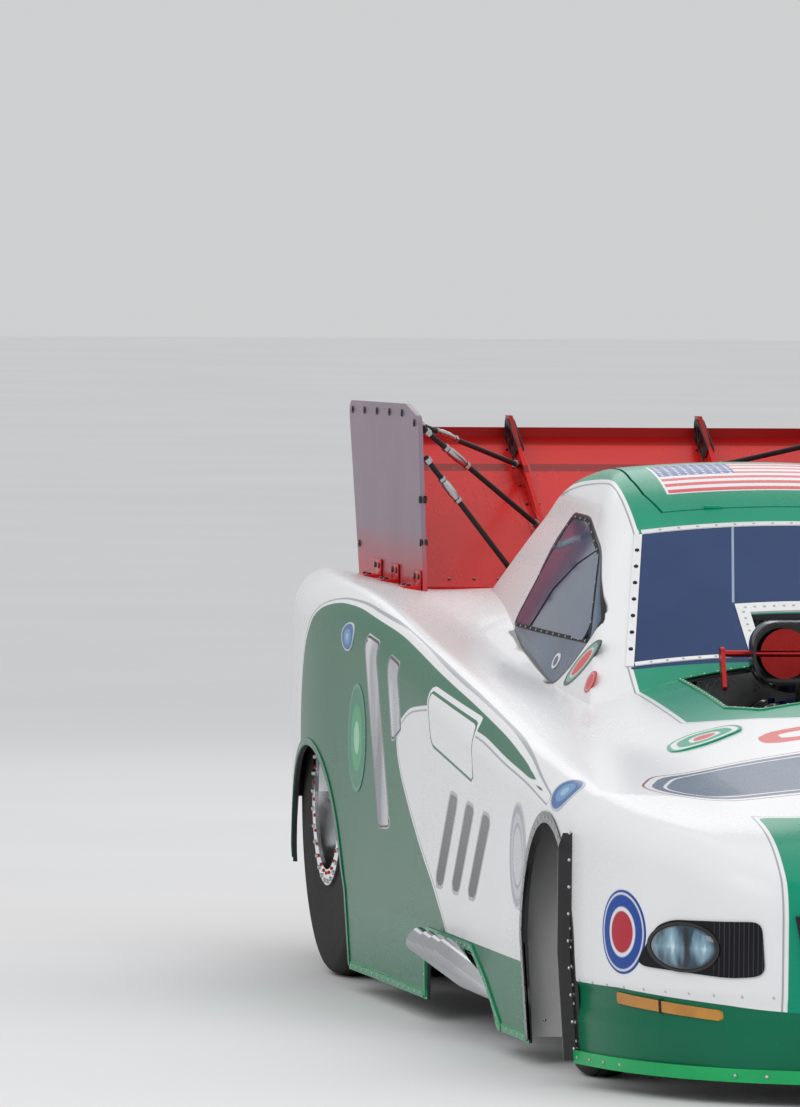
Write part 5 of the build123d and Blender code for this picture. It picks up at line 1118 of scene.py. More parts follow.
class DRAGCAR_OT_body(bpy.types.Operator):
    """Makes the painted shell: body and cabin joined, hollowed by their inner forms and cut for
    windows, arches and notches"""
    bl_idname = "dragcar.body"
    bl_label = "Body shell"

    def execute(self, context):
        rows = context.scene.drag_sizes.rows
        paint, bare = "body_paint", "bare_carbon"
        shell = closed_rows("painted_shell", body_rows(0.0, SILL_Z, rows), paint, bare)
        combine(shell, closed_rows("cabin", cabin_rows(0.0, 0.74, 130), paint, bare), "UNION")
        inner = [
            closed_rows("inner_body", body_rows(WALL, SILL_Z - 0.08, rows // 2), paint, bare),
            closed_rows("inner_cabin", cabin_rows(WALL, 0.74, 70), paint, bare),
            prism("hood_cut", HOOD_OPENING, 0.64, 1.40, 2),
            prism("hatch_cut", HATCH_OPENING, 1.17, 1.50, 2),
            prism("front_arch_cut", arch_outline(FRONT_ARCH), -1.2, 1.2, 0),
            prism("rear_arch_cut", arch_outline(REAR_ARCH), -1.2, 1.2, 0),
            prism("tail_cut", TAIL_CUT, -1.2, 1.2, 0),
            blocks("tail_panel_cut", [((0, FRONT_Y + BODY_END, 0.56), (1.38, 0.20, 0.56))], 0.03),
        ]
        screen = combine(prism("screen_cut", SCREEN_OPENING, 0.86, 1.40, 2),
                         prism("keep", SCREEN_KEEP, 0.80, 1.50, 2), "DIFFERENCE")
        inner.append(screen)
        for s in (1, -1):
            low, high = sorted((s * 0.30, s * 0.625))
            inner.append(prism("side_cut", rounded(SIDE_OPENING, 0.045), low, high, 0))
            low, high = sorted((s * 0.70, s * 1.2))
            inner.append(prism("notch_cut", EXHAUST_NOTCH, low, high, 0))
        for cutter in inner:
            if not len(cutter.data.materials):
                cutter.data.materials.append(FINISHES[paint])
                cutter.data.materials.append(FINISHES[bare])
            cutter.data.polygons.foreach_set("material_index", np.ones(len(cutter.data.polygons), np.int32))
            combine(shell, cutter, "DIFFERENCE")
        tidy(shell, 0.5, turn=False)
        self.lay_out(shell)
        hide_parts("body_shell")
        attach(shell, "body")
        return {"FINISHED"}

    def lay_out(self, shell):
        """Signed distances to the paint's outlines: the side's count only outside the crest, the top's
        only above it."""
        x, aft, z = points_of(shell)
        half = body_values(aft)[0]
        outer = half - 0.062 - np.abs(x)
        width = np.abs(x)

        def side(outline, bend=0.05):
            return np.maximum(inside(rounded(outline, bend), aft, z), outer)

        hood = np.maximum.reduce((width - 0.487, 0.42 + 0.35 * (x / 0.487) ** 2 - aft,
                                  aft - np.where(width < 0.21, 1.65, 1.452)))
        nose = np.maximum.reduce((width - 0.585, aft + 0.544 + 0.10 * (1 - (x / 0.585) ** 2)))
        roof = np.maximum.reduce((width - 0.381, aft - 2.90, 1.165 - z))
        carry(shell, "green_edge", np.minimum.reduce((side(QUARTER, 0.09), hood, nose, roof)))
        band = np.maximum(inside(rounded(HOOD_BAND, 0.16), x, aft), 0.55 - z)
        carry(shell, "slate_edge", band)
        carry(shell, "bar_edge", np.minimum.reduce([side(b, 0.02) for b in SLATE_BARS]))
        carry(shell, "silver_edge", np.minimum.reduce([side(b, 0.015) for b in SILVER_BARS]))
        dash = inside(rounded(HOOD_DASH, 0.07), x, aft)
        carry(shell, "red_edge", np.maximum.reduce((dash, -(dash + 0.045), 0.6 - z)))
        carry(shell, "panel_edge", side(BLANK_PANEL, 0.05))
        beside = (np.abs(cabin_side_x(np.clip(aft, 1.3, 3.5), z) - width)
                  - np.interp(z, (0.98, 1.08), (0.012, 0.050)))
        carry(shell, "tint_edge", np.maximum(inside(rounded(TINT, 0.05), aft, z), beside))
        border = np.interp(aft, (-0.96, -0.909, -0.821, -0.675, -0.523, -0.228),
                           (0.205, 0.209, 0.221, 0.230, 0.240, 0.238))
        carry(shell, "deep_edge", z - border)


NODE_FINISHES = {node: finish for finish, nodes in (
    ("frame_paint", "side_frames cross_tubes roll_cage front_axle wheelie_bar"),
    ("brushed_alloy", "floor_panels fuel_tank parachute_tray screen_frame hinge_arms"),
    ("cast_alloy", "engine_block cylinder_heads driveline rear_axle_housing"),
    ("cast_magnesium", "valve_covers supercharger"),
    ("gloss_carbon", "injector_scoop"),
    ("red_anodised", "throttle_plates brake_calipers"),
    ("blue_anodised", "drive_pulleys"),
    ("belt_rubber", "drive_belt wheelie_wheels"),
    ("exhaust_chrome", "exhaust_headers"),
    ("bare_carbon", "driver_seat"),
    ("satin_black", "steering_yoke spoiler_stays grille knuckle_left knuckle_right"),
    ("windscreen_tint", "windscreen"),
    ("window_tint", "side_windows"),
    ("spoiler_red", "rear_spoiler"),
    ("end_plate", "spoiler_end_plates"),
    ("bright_green", "front_lip"),
    ("hatch_paint", "roof_hatch"),
    ("bright_steel", "tie_rod"),
    ("polished_alloy", "front_wheel_left front_wheel_right rear_wheels"),
    ("gloss_black", "headlamps"),
    ("body_paint", "body_shell"),
    ("tyre_rubber", "front_tire_left front_tire_right"),
    ("slick_rubber", "rear_tires"),
    ("pack_cloth", "parachute_packs"),
) for node in nodes.split()}


class DRAGCAR_OT_finishes(bpy.types.Operator):
    """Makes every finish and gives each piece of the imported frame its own"""
    bl_idname = "dragcar.finishes"
    bl_label = "Finishes"

    def execute(self, context):
        make_groups()
        make_finishes()
        for node, finish in NODE_FINISHES.items():
            mesh = NODES[node].data
            mesh.materials.clear()
            mesh.materials.append(FINISHES[finish])
        return {"FINISHED"}


LAMP_CENTRE = (0.783, 0.3445)
LAMP = rounded(((0.868, 0.296), (0.832, 0.388), (0.806, 0.404), (0.640, 0.410), (0.632, 0.290), (0.700, 0.282)),
               0.024)
MARKER = rounded(((-0.508, 0.204), (-0.508, 0.230), (-0.807, 0.209), (-0.807, 0.185)), 0.006, 4)


def nose_line(z, proud, step):
    """Places at equal steps round the nose at one height, with their level normals."""
    aft = np.linspace(-0.285, BODY_STATIONS[0, 0], 80)
    half = np.stack((side_x(aft, np.full(80, z)), aft), 1)
    line = np.concatenate((half, half[::-1] * (-1, 1)))
    length = np.concatenate(([0], np.cumsum(np.linalg.norm(np.diff(line, axis=0), axis=1))))
    where = np.arange(step / 2, length[-1], step)
    spot, near = [np.stack([np.interp(w, length, c) for c in line.T], 1) for w in (where, where + 0.002)]
    normal = np.stack((spot[:, 1] - near[:, 1], near[:, 0] - spot[:, 0]), 1)
    normal /= np.linalg.norm(normal, axis=1)[:, None]
    flat = spot + normal * proud
    places = np.stack((flat[:, 0], flat[:, 1] + FRONT_Y, np.full(len(spot), z)), 1)
    return places, np.stack((normal[:, 0], normal[:, 1], 0 * normal[:, 0]), 1)


class DRAGCAR_OT_nose(bpy.types.Operator):
    """Makes the printed lamps, side markers, arch flanges and fences, notch flanges and the rivets
    along the lip and sills"""
    bl_idname = "dragcar.nose"
    bl_label = "Nose and sides"

    def execute(self, context):
        sizes = context.scene.drag_sizes
        r, step = sizes.rivet, sizes.rivet_step
        black, steel = "gloss_black", "bright_steel"
        seat(patch("lamp_panels", LAMP, on_nose, "lamp_panel", 0.0045, -0.006, 10, 96), "body", "lamp",
             "headlamps")
        lens = oval(*LAMP_CENTRE, (0.0575, 0.050))
        dome = patch("lamp_lenses", lens, on_nose, "lamp_lens", lambda s: 0.006 + 0.013 * np.sqrt(1 - s * s),
                     0.003, 10)
        seat(dome, "body", "lamp")
        seat(strip("lamp_bezels", oval(*LAMP_CENTRE, (0.0605, 0.053)), 0.006, on_nose, black, 0.0075, 0.003,
                   closed=True), "body", "black_trim")
        seat(patch("side_markers", MARKER, on_side, "amber_lens", -0.0035, -0.012, 4, 80), "body", "lamp")
        split = spread(((-0.655, 0.192), (-0.655, 0.223)), 6)
        seat(strip("marker_splits", split, 0.007, on_side, "satin_black", -0.0025, -0.012), "body",
             "black_trim")
        arch = arch_outline(FRONT_ARCH, 0.013)[1:-1]
        arch = spread(np.concatenate(([(arch[0][0], 0.060)], arch, [(arch[-1][0], 0.060)])), 90)
        seat(strip("front_arch_flanges", arch, 0.026, on_side, black, 0.0035), "body", "black_trim")
        seat(studs("front_arch_rivets", spread(arch, 34)[1:-1], on_side, r * 0.8, 0.0025, steel, 0.0035),
             "body", "alloy")
        rear = arch_outline(REAR_ARCH, 0.010)[1:-1]
        rear = spread(np.concatenate(([(rear[0][0], 0.062)], rear)), 120)
        rear = rear[~((rear[:, 0] > 3.60) & (rear[:, 1] < 0.27))]
        seat(strip("rear_arch_flanges", rear, 0.018, on_side, "deep_paint", 0.003), "body", "painted_body")
        z = np.linspace(0.058, 0.572, 60)
        x = side_x(np.full(60, -0.287), z)
        columns = ((-0.008, -0.2905), (0.026, -0.2905), (0.031, -0.2875), (0.031, -0.2845), (-0.008, -0.2845))
        fence = np.stack([np.stack((x + out * (1 if out < 0 else 1 - 0.35 * np.clip((z - 0.54) / 0.032, 0, 1)),
                                    np.full(60, place) + FRONT_Y, z), 1) for out, place in columns], 1)
        points, faces = twice(fence, grid_faces(60, 5, False, True).tolist()
                              + [list(range(5))[::-1], list(range(295, 300))])
        seat(new_piece("arch_fences", points, faces, black), "body", "black_trim")
        spots = np.stack((side_x(np.full(9, -0.287), z[3::7]) + 0.006, np.full(9, -0.2905 + FRONT_Y), z[3::7]),
                         1)
        spots = np.concatenate((spots, spots * (-1, 1, 1)))
        seat(heads("fence_rivets", spots, (0, -1, 0), r * 0.7, 0.002, steel), "body", "alloy")
        places, normals = nose_line(0.067, 0.0085, step * 1.35)
        keep = places[:, 1] < FRONT_Y - 0.30
        seat(heads("lip_rivets", places[keep], normals[keep], r * 0.8, 0.003, steel), "body", "alloy")
        places, normals = nose_line(0.2425, 0.0, step * 1.35)
        seat(heads("valance_rivets", places, normals, r * 0.6, 0.002, steel), "body", "alloy")
        notch = spread(((0.628, 0.060), (0.800, 0.158), (0.962, 0.225), (1.560, 0.225), (1.610, 0.196),
                        (1.648, 0.060)), 90)
        seat(strip("notch_flanges", notch, 0.018, on_side, "lip_paint", 0.004), "body", "painted_body")
        seat(studs("notch_rivets", spread(notch, 22)[1:-1], on_side, r * 0.75, 0.0025, steel, 0.004), "body",
             "alloy")
        sill = np.concatenate((np.arange(0.33, 0.60, step * 1.3), np.arange(1.70, 2.64, step * 1.3)))
        seat(strip("front_sills", spread(((0.302, 0.063), (0.612, 0.063)), 20), 0.016, on_side, "lip_paint",
                   0.004), "body", "painted_body")
        seat(strip("rear_sills", spread(((1.662, 0.063), (2.640, 0.063)), 40), 0.016, on_side, "lip_paint",
                   0.004), "body", "painted_body")
        seat(studs("sill_rivets", np.stack((sill, np.full(len(sill), 0.063)), 1), on_side, r * 0.75, 0.0025,
                   steel, 0.004), "body", "alloy")
        return {"FINISHED"}


class DRAGCAR_OT_vinyl(bpy.types.Operator):
    """Lays the plain printed discs, ovals and rings on the sides"""
    bl_idname = "dragcar.vinyl"
    bl_label = "Vinyl"

    def execute(self, context):
        films = (
            ("nose_roundels", oval(-0.545, 0.366, (0.080, 0.094)), on_side, "roundel"),
            ("fender_ovals", oval(-0.065, 0.82, (0.088, 0.56)), on_crest, "blue_oval"),
            ("quarter_ovals", oval(2.640, 0.885, (0.075, 0.036)), on_side, "blue_oval"),
            ("quarter_balls", oval(2.500, 0.640, (0.115, 0.135), 0.1), on_side, "green_ball"),
            ("door_rings", oval(0.345, 0.480, (0.100, 0.124)), on_side, "faint_ring"),
            ("cabin_eyes", oval(1.620, 0.868, (0.125, 0.034), -0.42), on_cabin, "red_eye"),
            ("cabin_spots", oval(1.445, 0.830, (0.040, 0.026)), on_cabin, "red_spot"),
            ("hood_wedges", rounded(HOOD_WEDGE, 0.05), on_top, "hood_wedge"),
            ("window_rings", oval(1.930, 0.858, (0.036, 0.019)), on_cabin, "white_ring"),
        )
        for name, outline, place, finish in films:
            seat(patch(name, outline, place, finish, 0.0045 if place is on_top else 0.0018, -0.003, 12), "body",
                 "painted_body")
        return {"FINISHED"}


class DRAGCAR_OT_glazing(bpy.types.Operator):
    """Makes the strips, bolts, seams and rivets that hold the windscreen and the side windows"""
    bl_idname = "dragcar.glazing"
    bl_label = "Window strips"

    def execute(self, context):
        r = context.scene.drag_sizes.rivet
        alloy, dark, steel = "brushed_alloy", "satin_black", "bright_steel"
        edge = spread(((0.4935, 1.450), (0.3835, 1.928)), 50)
        seat(strip("screen_side_strips", edge, 0.020, on_crown, alloy, 0.0035), "body", "alloy")
        seat(studs("screen_side_bolts", spread(edge, 9)[1:-1], on_crown, r * 1.15, 0.003, dark, 0.0035,
                   **HEXAGON), "body", "black_trim")
        top = spread(((-0.374, 1.937), (0.374, 1.937)), 60)
        seat(strip("screen_top_strip", top, 0.014, on_crown, alloy, 0.0025, mirror=False), "body", "alloy")
        seat(studs("screen_top_rivets", spread(top, 17)[1:-1], on_crown, r * 0.7, 0.002, steel, 0.0025,
                   mirror=False), "body", "alloy")
        pane = spread(((0.148, 1.928), (0.203, 1.640)), 30)
        seat(strip("screen_dividers", pane, 0.006, on_crown, "pale_seam", 0.0015), "body", "tinted_glass")
        foot = spread(((0.245, 1.440), (0.480, 1.456)), 30)
        seat(strip("screen_foot_strips", foot, 0.012, on_crown, alloy, 0.0025), "body", "alloy")
        seat(studs("screen_foot_rivets", spread(foot, 7)[1:-1], on_crown, r * 0.7, 0.002, steel, 0.0025),
             "body", "alloy")
        frame_line = spread(((0.186, 1.452), (0.186, 1.612), (-0.186, 1.612), (-0.186, 1.452)), 30)[1:-1]
        seat(studs("screen_frame_rivets", frame_line, on_crown, r * 0.8, 0.003, steel, 0.0043, mirror=False),
             "body", "alloy")
        border = rounded(SIDE_OPENING, 0.045)
        border = spread(np.concatenate((border, border[:1])), 141)[:-1]
        seat(strip("side_window_seals", border, 0.009, on_cabin, "rubber_seal", 0.0018, closed=True), "body",
             "black_trim")
        seam = spread(((2.468, 0.917), (2.361, 1.018), (2.180, 1.086), (1.985, 1.128)), 40)
        seat(strip("side_window_seams", seam, 0.004, on_cabin, "rubber_seal", 0.0022, -0.001), "body",
             "black_trim")
        spots = spread(np.concatenate((border, border[:1])), 29)[:-1]
        seat(studs("side_window_rivets", spots, on_cabin, r * 0.6, 0.002, steel, 0.0018), "body", "alloy")
        return {"FINISHED"}


def plate_x(place):
    """Where the inner face of the spoiler's end plate is, left of the middle."""
    return PLATE_X + PLATE_TOE * (place - SPOILER_AFT)


def panel_height(place):
    """Height of the spoiler's upper face."""
    return SPOILER_FOOT_Z + (SPOILER_TOP_Z - SPOILER_FOOT_Z) / SPOILER_DEPTH * (place - SPOILER_AFT)


class DRAGCAR_OT_spoiler(bpy.types.Operator):
    """Makes the spoiler's bolts, feet, drilled fin brackets and the stays' turnbuckles"""
    bl_idname = "dragcar.spoiler"
    bl_label = "Spoiler fittings"

    def execute(self, context):
        black, steel = "gloss_black", "bright_steel"
        place = np.array((3.585, 3.740, 3.900, 4.060, 4.220, 4.375))
        z = np.interp(place, (3.545, 3.700, 4.435), (1.412, 1.442, 1.434)) - 0.024
        lower = np.array((3.505, 3.490, 4.270))
        place, z = np.concatenate((place, lower)), np.concatenate((z, (1.200, 1.090, 1.060)))
        inner, outer = plate_x(place), plate_x(place) + 0.0122
        points = np.concatenate([np.stack((s * x, place + FRONT_Y, z), 1) for s in (1, -1)
                                 for x in (outer, inner)])
        normals = np.concatenate([np.tile((s * side, 0.0, 0), (len(place), 1)) for s in (1, -1)
                                  for side in (1, -1)])
        seat(heads("end_plate_bolts", points, normals, 0.010, 0.006, black, **HEXAGON), "body", "black_trim")
        feet, bolts = [], []
        for s in (1, -1):
            for place in (3.520, 3.800, 4.020):
                x = plate_x(place) + 0.0125
                z = float(top_z(np.array([place]), np.array([x + 0.03]))[0])
                feet += [((s * (x + 0.002), place + FRONT_Y, z + 0.020), (0.004, 0.100, 0.052)),
                         ((s * (x + 0.024), place + FRONT_Y, z + 0.001), (0.048, 0.100, 0.012))]
                bolts += [((s * (x + 0.004), place + d + FRONT_Y, z + 0.030), (s, 0, 0)) for d in (-0.03, 0.03)]
                bolts += [((s * (x + 0.032), place + d + FRONT_Y, z + 0.007), (0, 0, 1)) for d in (-0.03, 0.03)]
        seat(blocks("end_plate_feet", feet, 0.002, "red_paint"), "body", "painted_red")
        seat(heads("foot_bolts", [b[0] for b in bolts], [b[1] for b in bolts], 0.008, 0.005, black, **HEXAGON),
             "body", "black_trim")
        outline = rounded(((4.215, 1.312), (4.372, 1.388), (4.412, 1.388), (4.412, 1.240), (4.345, 1.240)),
                          0.02, 4)
        plates = []
        for s in (1, -1):
            for x in (0.2625, 0.2465):
                one = prism("bracket", outline, *sorted((s * x, s * (x + 0.0030))), 0)
                for a, z, size in ((4.300, 1.325, 0.012), (4.345, 1.347, 0.013), (4.388, 1.358, 0.011),
                                   (4.385, 1.316, 0.012), (4.360, 1.275, 0.012), (4.340, 1.305, 0.008)):
                    combine(one, prism("hole", oval(a, z, (size, size), count=16),
                                       *sorted((s * (x - 0.01), s * (x + 0.01))), 0), "DIFFERENCE")
                plates.append(one)
        merged = bmesh.new()
        for one in plates:
            merged.from_mesh(one.data)
        merged.to_mesh(plates[0].data)
        merged.free()
        plates[0].name = "fin_brackets"
        for one in plates[1:]:
            bpy.data.objects.remove(one)
        plates[0].data.materials.clear()
        plates[0].data.materials.append(FINISHES["satin_black"])
        seat(plates[0], "body", "black_trim")
        bodies, nuts = [], []
        for (a, z), end in (((3.560, 1.385), (0.262, 3.900, 1.116)),
                            ((3.530, 1.315), (0.372, 3.668, panel_height(3.668))),
                            ((3.640, 1.395), (0.262, 4.200, 1.268))):
            for s in (1, -1):
                start = np.array((s * plate_x(a), a + FRONT_Y, z))
                stop = np.array((s * end[0], end[1] + FRONT_Y, end[2]))
                bodies.append([start + (stop - start) * t for t in (0.22, 0.25, 0.29, 0.32, 0.36)])
                nuts += [[start + (stop - start) * t, start + (stop - start) * (t + 0.022)]
                         for t in (0.19, 0.365)]
                for t in (0.03, 0.95):
                    nuts.append([start + (stop - start) * t, start + (stop - start) * (t + 0.035)])
        seat(tubes("turnbuckles", bodies, (0.0088, 0.0115, 0.0115, 0.0115, 0.0088), steel, sides=14), "body",
             "alloy")
        seat(tubes("stay_nuts", nuts, 0.0108, steel, sides=6), "body", "alloy")
        rows = []
        for level, size in ((4.392, 0.006), (4.235, 0.0045), (3.640, 0.0045)):
            half = 0.64 + PLATE_TOE * (level - SPOILER_AFT) - 0.03
            x = np.linspace(-half, half, 20)
            x = x[np.abs(np.abs(x) - FIN_X) > 0.02]
            rows.append([(across, level + FRONT_Y, panel_height(level)) for across in x])
        seat(heads("panel_bolts", np.concatenate(rows), SPOILER_OUT, 0.0055, 0.003, black, **HEXAGON), "body",
             "black_trim")
        row = np.linspace(3.74, 4.34, 7)
        angle = np.concatenate([
            np.stack((np.full(7, s * (0.256 + side * 0.016)), row + FRONT_Y, panel_height(row) + 0.0022), 1)
            for s in (1, -1) for side in (1, -1)])
        runs = [((s * (0.256 + side * 0.0165), 4.03 + FRONT_Y, panel_height(4.03) + 0.001), s * side)
                for s in (1, -1) for side in (1, -1)]
        way = np.array(SPOILER_ALONG)
        flanges = []
        for centre, side in runs:
            rows = [np.array(centre) + way * t for t in (-0.30, 0.33)]
            corner = [np.array((dx, -0.4077 * dz, 0.9131 * dz))
                      for dx, dz in ((-0.0105 * side, -0.002), (0.0135 * side, -0.002), (0.0135 * side, 0.0022),
                                     (-0.0075 * side, 0.0022), (-0.0075 * side, 0.022),
                                     (-0.0105 * side, 0.022))]
            flanges.append([[r + c for c in corner] for r in rows])
        points = np.array(flanges)
        faces = []
        for k in range(len(points)):
            faces += (grid_faces(2, 6, False, True, k * 12).tolist()
                      + [list(range(k * 12, k * 12 + 6))[::-1], list(range(k * 12 + 6, k * 12 + 12))])
        seat(new_piece("fin_flanges", points, faces, "red_paint"), "body", "painted_red")
        seat(heads("fin_flange_bolts", angle + (0, -0.0009, 0.0020), SPOILER_OUT, 0.005, 0.003, black,
                   **HEXAGON), "body", "black_trim")
        return {"FINISHED"}


def tyre_section(width, outside, bore, shoulder, grooves):
    """The section of a tyre as (x, radius): bead, sidewall bulge with two raised rings, round shoulder
    and a crowned tread."""
    half = width / 2
    t = np.linspace(0, 1, 34)
    radius = bore + 0.034 + (outside - shoulder - bore - 0.034) * t
    wall = half - 0.0085 + 0.0050 * np.sin(pi * t) ** 0.8 + 0.0020 * t
    rings = sum(0.0012 * np.exp(-((t - place) / 0.028) ** 4) for place in (0.10, 0.30, 0.82))
    a = np.linspace(0, pi / 2, 12)[1:]
    edge = half - 0.0065
    round_x = edge - shoulder * (1 - np.cos(a))
    round_r = outside - shoulder + (shoulder - 0.002) * np.sin(a)
    tread = np.linspace(edge - shoulder, 0, 90)[1:]
    crown = outside - 0.002 * (tread / (edge - shoulder)) ** 2
    for place, deep, wide in grooves:
        crown = crown - deep * np.exp(-((tread - place) / wide) ** 6)
    x = np.concatenate(([half - 0.010, half - 0.009], wall + rings, round_x, tread))
    r = np.concatenate(([bore, bore + 0.020], radius, round_r, crown))
    return np.concatenate((np.stack((x, r), 1), np.stack((-x[-2::-1], r[-2::-1]), 1)))


def tyre(name, section, middle, centre, finish, sides, mirror=False):
    """A tyre turned about its axle from its section."""
    a = np.linspace(0, 2 * pi, sides, endpoint=False)
    x, r = section.T
    points = np.stack((x[:, None] + middle + 0 * a, centre[0] + r[:, None] * np.cos(a),
                       centre[1] + r[:, None] * np.sin(a)), 2)
    faces = grid_faces(len(x), sides, True, True)
    if mirror:
        points, faces = twice(points, faces.tolist())
    return new_piece(name, points, faces, finish, angle=0.7)


def ring_of(count, radius, x, centre, start=0.0):
    """Places round an axle along X."""
    a = start + np.linspace(0, 2 * pi, count, endpoint=False)
    return np.stack((np.full(count, x), centre[0] + radius * np.cos(a), centre[1] + radius * np.sin(a)), 1)


class DRAGCAR_OT_tyres(bpy.types.Operator):
    """Makes the front tyres and the rear slicks with their sidewall rings, and the wheels' nuts, locks,
    bolts and caps"""
    bl_idname = "dragcar.tyres"
    bl_label = "Tyres and wheel bolts"

    def execute(self, context):
        steel, red = "bright_steel", "red_anodised"
        section = tyre_section(0.120, FRONT_HUB[1], 0.1963, 0.026,
                               ((0.0, 0.005, 0.0022), (0.022, 0.005, 0.0022)))
        for s, side in ((1, "left"), (-1, "right")):
            piece = tyre("tyre_front_" + side, section, s * FRONT_WHEEL_X, FRONT_HUB, "tyre_rubber", 120)
            seat(piece, side + "_front_wheel", "tire_rubber", "front_tire_" + side)
            nuts = ring_of(6, 0.050, s * 0.8665, FRONT_HUB)
            seat(heads("front_nuts_" + side, nuts, (s, 0, 0), 0.0075, 0.007, steel, **HEXAGON),
                 side + "_front_wheel", "chrome")
            lock = heads("front_lock_" + side, [(s * 0.8795, *FRONT_HUB)], (s, 0, 0), 0.027, 0.013, red,
                         **HEXAGON)
            seat(lock, side + "_front_wheel", "alloy")
            rim = ring_of(16, 0.1885, s * 0.8815, FRONT_HUB, 0.1)
            seat(heads("front_rim_bolts_" + side, rim, (s, 0, 0), 0.0042, 0.003, steel, sides=6),
                 side + "_front_wheel", "chrome")
        section = tyre_section(0.436, REAR_HUB[1], 0.2063, 0.034, ())
        seat(tyre("slicks", section, REAR_WHEEL_X, REAR_HUB, "slick_rubber", 160, True), "rear_wheel_set",
             "tire_rubber", "rear_tires")
        bolts = ring_of(30, 0.2185, 0.9412, REAR_HUB)
        inner = ring_of(30, 0.1975, 0.9412, REAR_HUB, 0.105)
        nuts = ring_of(5, 0.075, 0.7345, REAR_HUB)
        for name, places, size, high, finish in (
            ("beadlock_bolts", bolts, 0.0060, 0.005, steel), ("rim_bolts", inner, 0.0045, 0.004, red),
            ("wheel_nuts", nuts, 0.0120, 0.020, steel)
        ):
            places = np.concatenate((places, places * (-1, 1, 1)))
            out = np.sign(places[:, :1]) * (1, 0, 0)
            seat(heads(name, places, out, size, high, finish, **HEXAGON), "rear_wheel_set", "chrome")
        cap = np.array([[s * 0.770, *REAR_HUB] for s in (1, -1)])
        seat(heads("hub_caps", cap, np.sign(cap[:, :1]) * (1, 0, 0), 0.032, 0.016, red, sides=24),
             "rear_wheel_set", "alloy")
        return {"FINISHED"}


def pillow(name, centre, half, finish, turn=None, edge=0.30, folds=0.003, seams=(), floor=None):
    """A stuffed block: a sphere's points raised to a small power, so that it bulges to the box's faces,
    with folds that die out at its top."""
    u = np.linspace(0, 2 * pi, 112, endpoint=False)
    v = np.linspace(-pi / 2, pi / 2, 64)
    v, u = np.meshgrid(v, u, indexing="ij")

    def bulge(wave):
        return np.sign(wave) * np.abs(wave) ** edge
    ball = np.stack((bulge(np.cos(v)) * bulge(np.cos(u)), bulge(np.cos(v)) * bulge(np.sin(u)),
                     bulge(np.sin(v))), 2)
    p = ball * half
    k = p / max(half)
    wave = (np.sin(9 * k[..., 0] + 3 * np.sin(5 * k[..., 1])) + 0.6 * np.sin(14 * k[..., 1] + 4 * k[..., 2])
            + 0.5 * np.sin(21 * k[..., 2] + 6 * k[..., 0]))
    swell = 1 - 0.35 * np.abs(ball[..., 2]) ** 4
    p = p * (1 - (folds * (1.6 + wave) / min(half) * swell)[..., None])
    for axis, place in seams:
        p = p * (1 - 0.06 * np.exp(-((p[..., axis] - place) / 0.004) ** 2))[..., None]
    if turn is not None:
        p = p @ np.array(turn)
    p = p + centre
    if floor is not None:
        p[..., 2] = np.maximum(p[..., 2], floor)
    return new_piece(name, p, grid_faces(64, 112, False, True), finish, angle=1.2)


def band_round(centre, half, x, wide, thick, edge=0.30):
    """A strap's ring round a stuffed block, across the car's middle line: its inner and outer edges."""
    a = np.linspace(0, 2 * pi, 96, endpoint=False)
    share = (1 - abs(x / half[0]) ** (2 / edge)) ** (edge / 2)
    y, z = [np.sign(w) * np.abs(w) ** edge * size * share
            for w, size in ((np.cos(a), half[1]), (np.sin(a), half[2]))]
    corners = []
    for dx, out in ((-wide, 0.9), (-wide, 1 + thick), (wide, 1 + thick), (wide, 0.9)):
        corners.append(np.stack((np.full(96, centre[0] + x + dx), centre[1] + y * out, centre[2] + z * out), 1))
    return np.stack(corners, 1)


